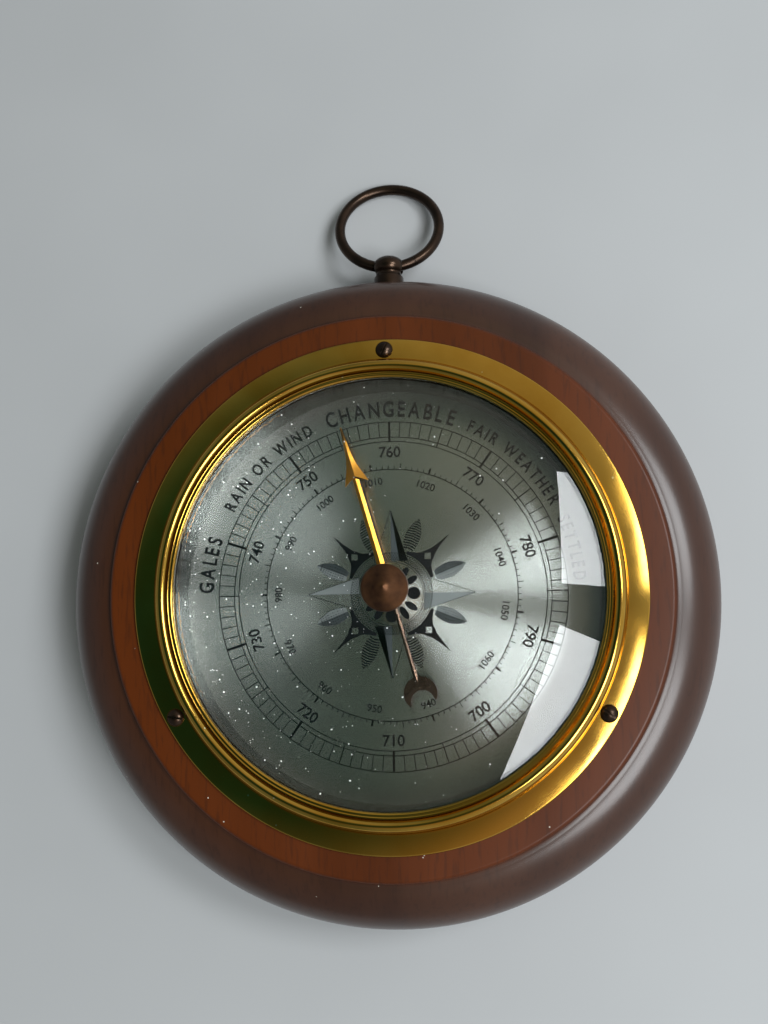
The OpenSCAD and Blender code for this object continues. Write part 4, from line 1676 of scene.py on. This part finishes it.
@dataclass
class Hanger:
    """The ball-shaped eye in the wood's edge and the ring that swings in it.

    The neck gives radius and height from the ball's middle in millimetres.
    """

    sizes: Sizes
    finishes: Finishes
    eye_z: float = 11.5 * MM
    ball_y: float = 99.7 * MM
    ball_r: float = 4.9 * MM
    ball_half: float = 3.4 * MM
    hole_r: float = 2.4 * MM
    ring_r: float = 15.4 * MM
    wire_r: float = 1.6 * MM
    shank: Point = (1.5 * MM, 12 * MM)
    neck: tuple[Point, ...] = ((4.5, -3.7), (4.3, -3.3), (3.95, -2.8), (3.85, -2.45))
    lap: float = 0.05 * MM
    soft: float = 0.12 * MM
    seam: float = 0.12 * MM
    seam_at: float = 150

    @property
    def middle(self) -> Matrix:
        """The move from the origin to the ball's middle."""
        return Matrix.Translation((0, self.ball_y, self.eye_z))

    def eye(self) -> None:
        """Turns the ball, its flared neck and its shank, and bores the ball."""
        gap = self.sizes.wood_r + self.lap - self.ball_y
        shank_r, shank_l = self.shank
        neck = mm(self.neck)
        profile = [(0, gap - shank_l), (shank_r, gap - shank_l), (shank_r, gap), (neck[0][0], gap), *neck,
                   *arc((0, 0), (self.ball_r, self.ball_half), -37, 90, 28)]
        eye = turned("ball_eye", profile, steps=96, smooth=40)
        place(eye, self.middle @ Matrix.Rotation(-math.pi / 2, 4, "X"))
        deselect()
        bpy.ops.mesh.primitive_cylinder_add(vertices=48, radius=self.hole_r, depth=12 * MM)
        drill = bpy.context.object
        place(drill, self.middle @ Matrix.Rotation(math.pi / 2, 4, "Y"))
        cut_out(eye, drill)
        carry(bevelled(eye, self.soft), self.finishes.bronze, Body.CASE, Slot.BRONZE, "hanger_eye")

    def ring(self) -> None:
        """Bends the ring, with the seam where its wire meets."""
        lean = math.asin((self.eye_z - self.wire_r) / (2 * self.ring_r))
        deselect()
        bpy.ops.mesh.primitive_torus_add(major_radius=self.ring_r, minor_radius=self.wire_r,
                                         major_segments=128, minor_segments=28)
        ring = bpy.context.object
        ring.name = "wire_ring"
        deselect()
        bpy.ops.mesh.primitive_cube_add(size=1)
        seam = bpy.context.object
        out = Matrix.Translation((0, self.ring_r, 0))
        place(seam, about_z(self.seam_at) @ out
              @ Matrix.Diagonal((self.seam, 4 * self.wire_r, 4 * self.wire_r, 1)))
        cut_out(ring, seam)
        tidy(ring, smooth=40)
        place(ring, self.middle @ Matrix.Rotation(-lean, 4, "X") @ out)
        carry(ring, self.finishes.bronze, Body.RING, Slot.BRONZE, "hanging_ring")

    def build(self) -> None:
        """Makes the eye and the ring."""
        self.eye()
        self.ring()


@dataclass
class Movement:
    """The CAD nodes of the movement and the can, two of which are stood in for by plain copies that don't
    bend.

    The fields chain_still (how far past the drum's middle the chain was to follow the case) and under_pivot
    (how far from its edge at the lever's pivot the capsule's upper half was to follow it, besides at its
    rim) are not used.
    """

    finishes: Finishes
    chain_still: float = 0.5 * MM
    under_pivot: float = 6 * MM

    def build(self) -> None:
        """Dresses each node by its slot in the record."""
        f = self.finishes
        by_slot = {
            "can_metal": f.can, "plain_brass": f.plain_brass, "plain_steel": f.steel,
            "blued_steel": f.blued, "capsule_metal": f.capsule, "black_rubber": f.rubber,
            "stained_wood": f.wood, "polished_brass": f.brass, "gilt_brass": f.gilt,
            "dark_bronze": f.bronze, "copper_patina": f.copper, "silvered_dial": f.dial,
            "clear_glass": f.glass,
        }
        for entry in frame["record"]["subparts"]:
            node = frame["nodes"][entry["node"]]
            for slot in node.material_slots:
                slot.material = by_slot[entry["material_slot"]]
            LOG.info("%s: dressed as %s", entry["node"], entry["material_slot"])
        self.bending("fine_chain", Body.ROCKER)
        self.bending("capsule_upper", Body.POST)

    def bending(self, node: str, body: Body) -> None:
        """Stands a plain copy in place of a node and hides the node; the copy is not tied to the moving
        body.

        Args:
            node: The CAD node.
            body: The moving body, which only the log names.
        """
        piece = bpy.data.objects.new(f"{node}_bending", frame["nodes"][node].data.copy())
        bpy.context.collection.objects.link(piece)
        deselect()
        tidy(piece)
        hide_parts(node)
        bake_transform(piece)
        LOG.info("%s: bends between the case and the %s", piece.name, body.value)


# Camera, floor and light


@dataclass(frozen=True)
class Patch:
    """A patch of the room that is darker or tinted.

    It lies in the direction toward, full within inner degrees and gone past outer degrees, and factor
    multiplies the room's colour.
    """

    toward: tuple[float, float, float]
    inner: float
    outer: float
    factor: Colour


@dataclass(frozen=True)
class Pane:
    """A lit window pane.

    The middle of its inner edge is at corner, its edge is turned by turn degrees, and size is its width
    and height, all in metres.
    """

    name: str
    corner: tuple[float, float, float]
    turn: float
    size: Point


@dataclass
class Studio:
    """The camera at the photograph's angle, a pale floor and soft window light."""

    sizes: Sizes
    lens: float = 39.02
    sensor: float = 36
    clip_start: float = 0.01
    camera_from_dial: tuple[float, float, float] = (23.9 * MM, -19.91 * MM, 317.7 * MM)
    camera_turn: tuple[float, float, float] = (7.72, 4.743, -0.755)
    floor_size: float = 6.0
    floor_gap: float = 0.1 * MM
    floor_colour: Colour = (0.44, 0.455, 0.465)
    floor_mottle: float = 0.96
    level: float = 0.78
    pane_level: float = 40.0
    pane_colour: Colour = (0.95, 0.98, 1.0)
    panes: tuple[Pane, ...] = (
        Pane("window_upper", (0.462, 0.262, 1.0), -2.5, (0.5, 0.37)),
        Pane("window_lower", (0.351, -0.287, 1.0), -21.0, (0.5, 0.51)),
    )
    by_height: tuple[tuple[float, Colour], ...] = (
        (0.0, (0.6, 0.61, 0.62)), (0.55, (0.6, 0.61, 0.62)), (0.82, (0.42, 0.42, 0.42)),
        (0.93, (0.3, 0.295, 0.28)), (1.0, (0.22, 0.21, 0.195)))
    by_side: tuple[tuple[float, Colour], ...] = (
        (0.0, (0.42, 0.47, 0.49)), (0.4, (0.36, 0.44, 0.45)), (0.55, (0.9, 0.88, 0.84)),
        (0.8, (1.35, 1.35, 1.35)))
    patches: tuple[Patch, ...] = (
        Patch((-0.34, -0.04, 0.94), 14, 32, (0.11, 0.34, 0.34)),
        Patch((-0.1, 0.36, 0.92), 9, 32, (1.9, 1.75, 1.4)),
        Patch((0.0, -0.34, 0.94), 7, 28, (1.7, 1.3, 1.0)),
    )

    def camera(self) -> None:
        """Sets up the camera."""
        data = bpy.data.cameras.new("camera")
        data.lens = self.lens
        data.sensor_width = self.sensor
        data.clip_start = self.clip_start
        camera = bpy.data.objects.new("camera", data)
        bpy.context.collection.objects.link(camera)
        x, y, z = self.camera_from_dial
        camera.location = (x, y, z + self.sizes.dial_z)
        camera.rotation_euler = tuple(math.radians(a) for a in self.camera_turn)
        bpy.context.scene.camera = camera

    def floor(self) -> None:
        """Lays the pale floor."""
        deselect()
        bpy.ops.mesh.primitive_plane_add(size=self.floor_size, location=(0, 0, -self.floor_gap))
        floor = bpy.context.object
        floor.name = "pale_floor"
        s = Shader.named("pale_paper")
        noise = s.node("ShaderNodeTexNoise")
        noise.inputs["Scale"].default_value = 90
        pale = self.floor_colour
        darker = tuple(c * self.floor_mottle for c in pale)
        s.feed(Base_Color=s.ramp(noise.outputs["Fac"], [(0.3, darker), (0.7, pale)]))
        s.set(Roughness=0.8)
        floor.data.materials.append(s.material)

    def hang(self, pane: Pane) -> None:
        """Hangs one soft window pane.

        Args:
            pane: The pane.
        """
        light = bpy.data.lights.new(pane.name, "AREA")
        light.shape = "RECTANGLE"
        light.size, light.size_y = pane.size
        light.energy = self.pane_level * pane.size[0] * pane.size[1]
        light.color = self.pane_colour
        lamp = bpy.data.objects.new(pane.name, light)
        bpy.context.collection.objects.link(lamp)
        turn = math.radians(pane.turn)
        out = Vector((math.cos(turn), math.sin(turn), 0))
        lamp.location = Vector(pane.corner) + out * pane.size[0] / 2
        lamp.rotation_euler.z = turn

    def world(self) -> None:
        """Lights the room: dark overhead, bright toward the sides and most so on the right."""
        world = bpy.data.worlds.new("room")
        bpy.context.scene.world = world
        world.use_nodes = True
        w = Wiring(world.node_tree)
        toward = w.node("ShaderNodeTexCoord").outputs["Generated"]
        split = w.node("ShaderNodeSeparateXYZ")
        w.link(toward, split.inputs[0])
        height = w.ramp(w.spread(split.outputs["Z"], (0.0, 1.0)), self.by_height)
        side = w.ramp(w.spread(split.outputs["X"], (-1.0, 1.0)), self.by_side)
        colour = w.mix(1.0, height, side, "MULTIPLY")
        for patch in self.patches:
            aim = w.node("ShaderNodeVectorMath")
            aim.operation = "DOT_PRODUCT"
            aim.inputs[1].default_value = Vector(patch.toward).normalized()
            w.link(toward, aim.inputs[0])
            ends = (math.cos(math.radians(patch.outer)), math.cos(math.radians(patch.inner)))
            inside = w.spread(aim.outputs["Value"], ends)
            factor = w.ramp(inside, ((0.0, (1.0, 1.0, 1.0)), (1.0, patch.factor)))
            colour = w.mix(1.0, colour, factor, "MULTIPLY")
        background = w.tree.nodes["Background"]
        w.link(colour, background.inputs["Color"])
        background.inputs["Strength"].default_value = self.level

    def build(self) -> None:
        """Sets up the whole studio."""
        self.camera()
        self.floor()
        self.world()
        for pane in self.panes:
            self.hang(pane)
        bpy.context.scene.view_settings.view_transform = "Standard"


def main() -> None:
    """Builds the studio and each sub-assembly in order."""
    logging.basicConfig(level=logging.INFO, format="%(name)s: %(message)s")
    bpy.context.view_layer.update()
    sizes = Sizes.from_frame()
    Studio(sizes).build()
    finishes = Finishes.made(WoodenBase.flat_r)
    Movement(finishes).build()
    for part in (WoodenBase, Bezel, Dial, Hands, DomedGlass, Hanger):
        part(sizes, finishes).build()


if __name__ == "__main__":
    main()
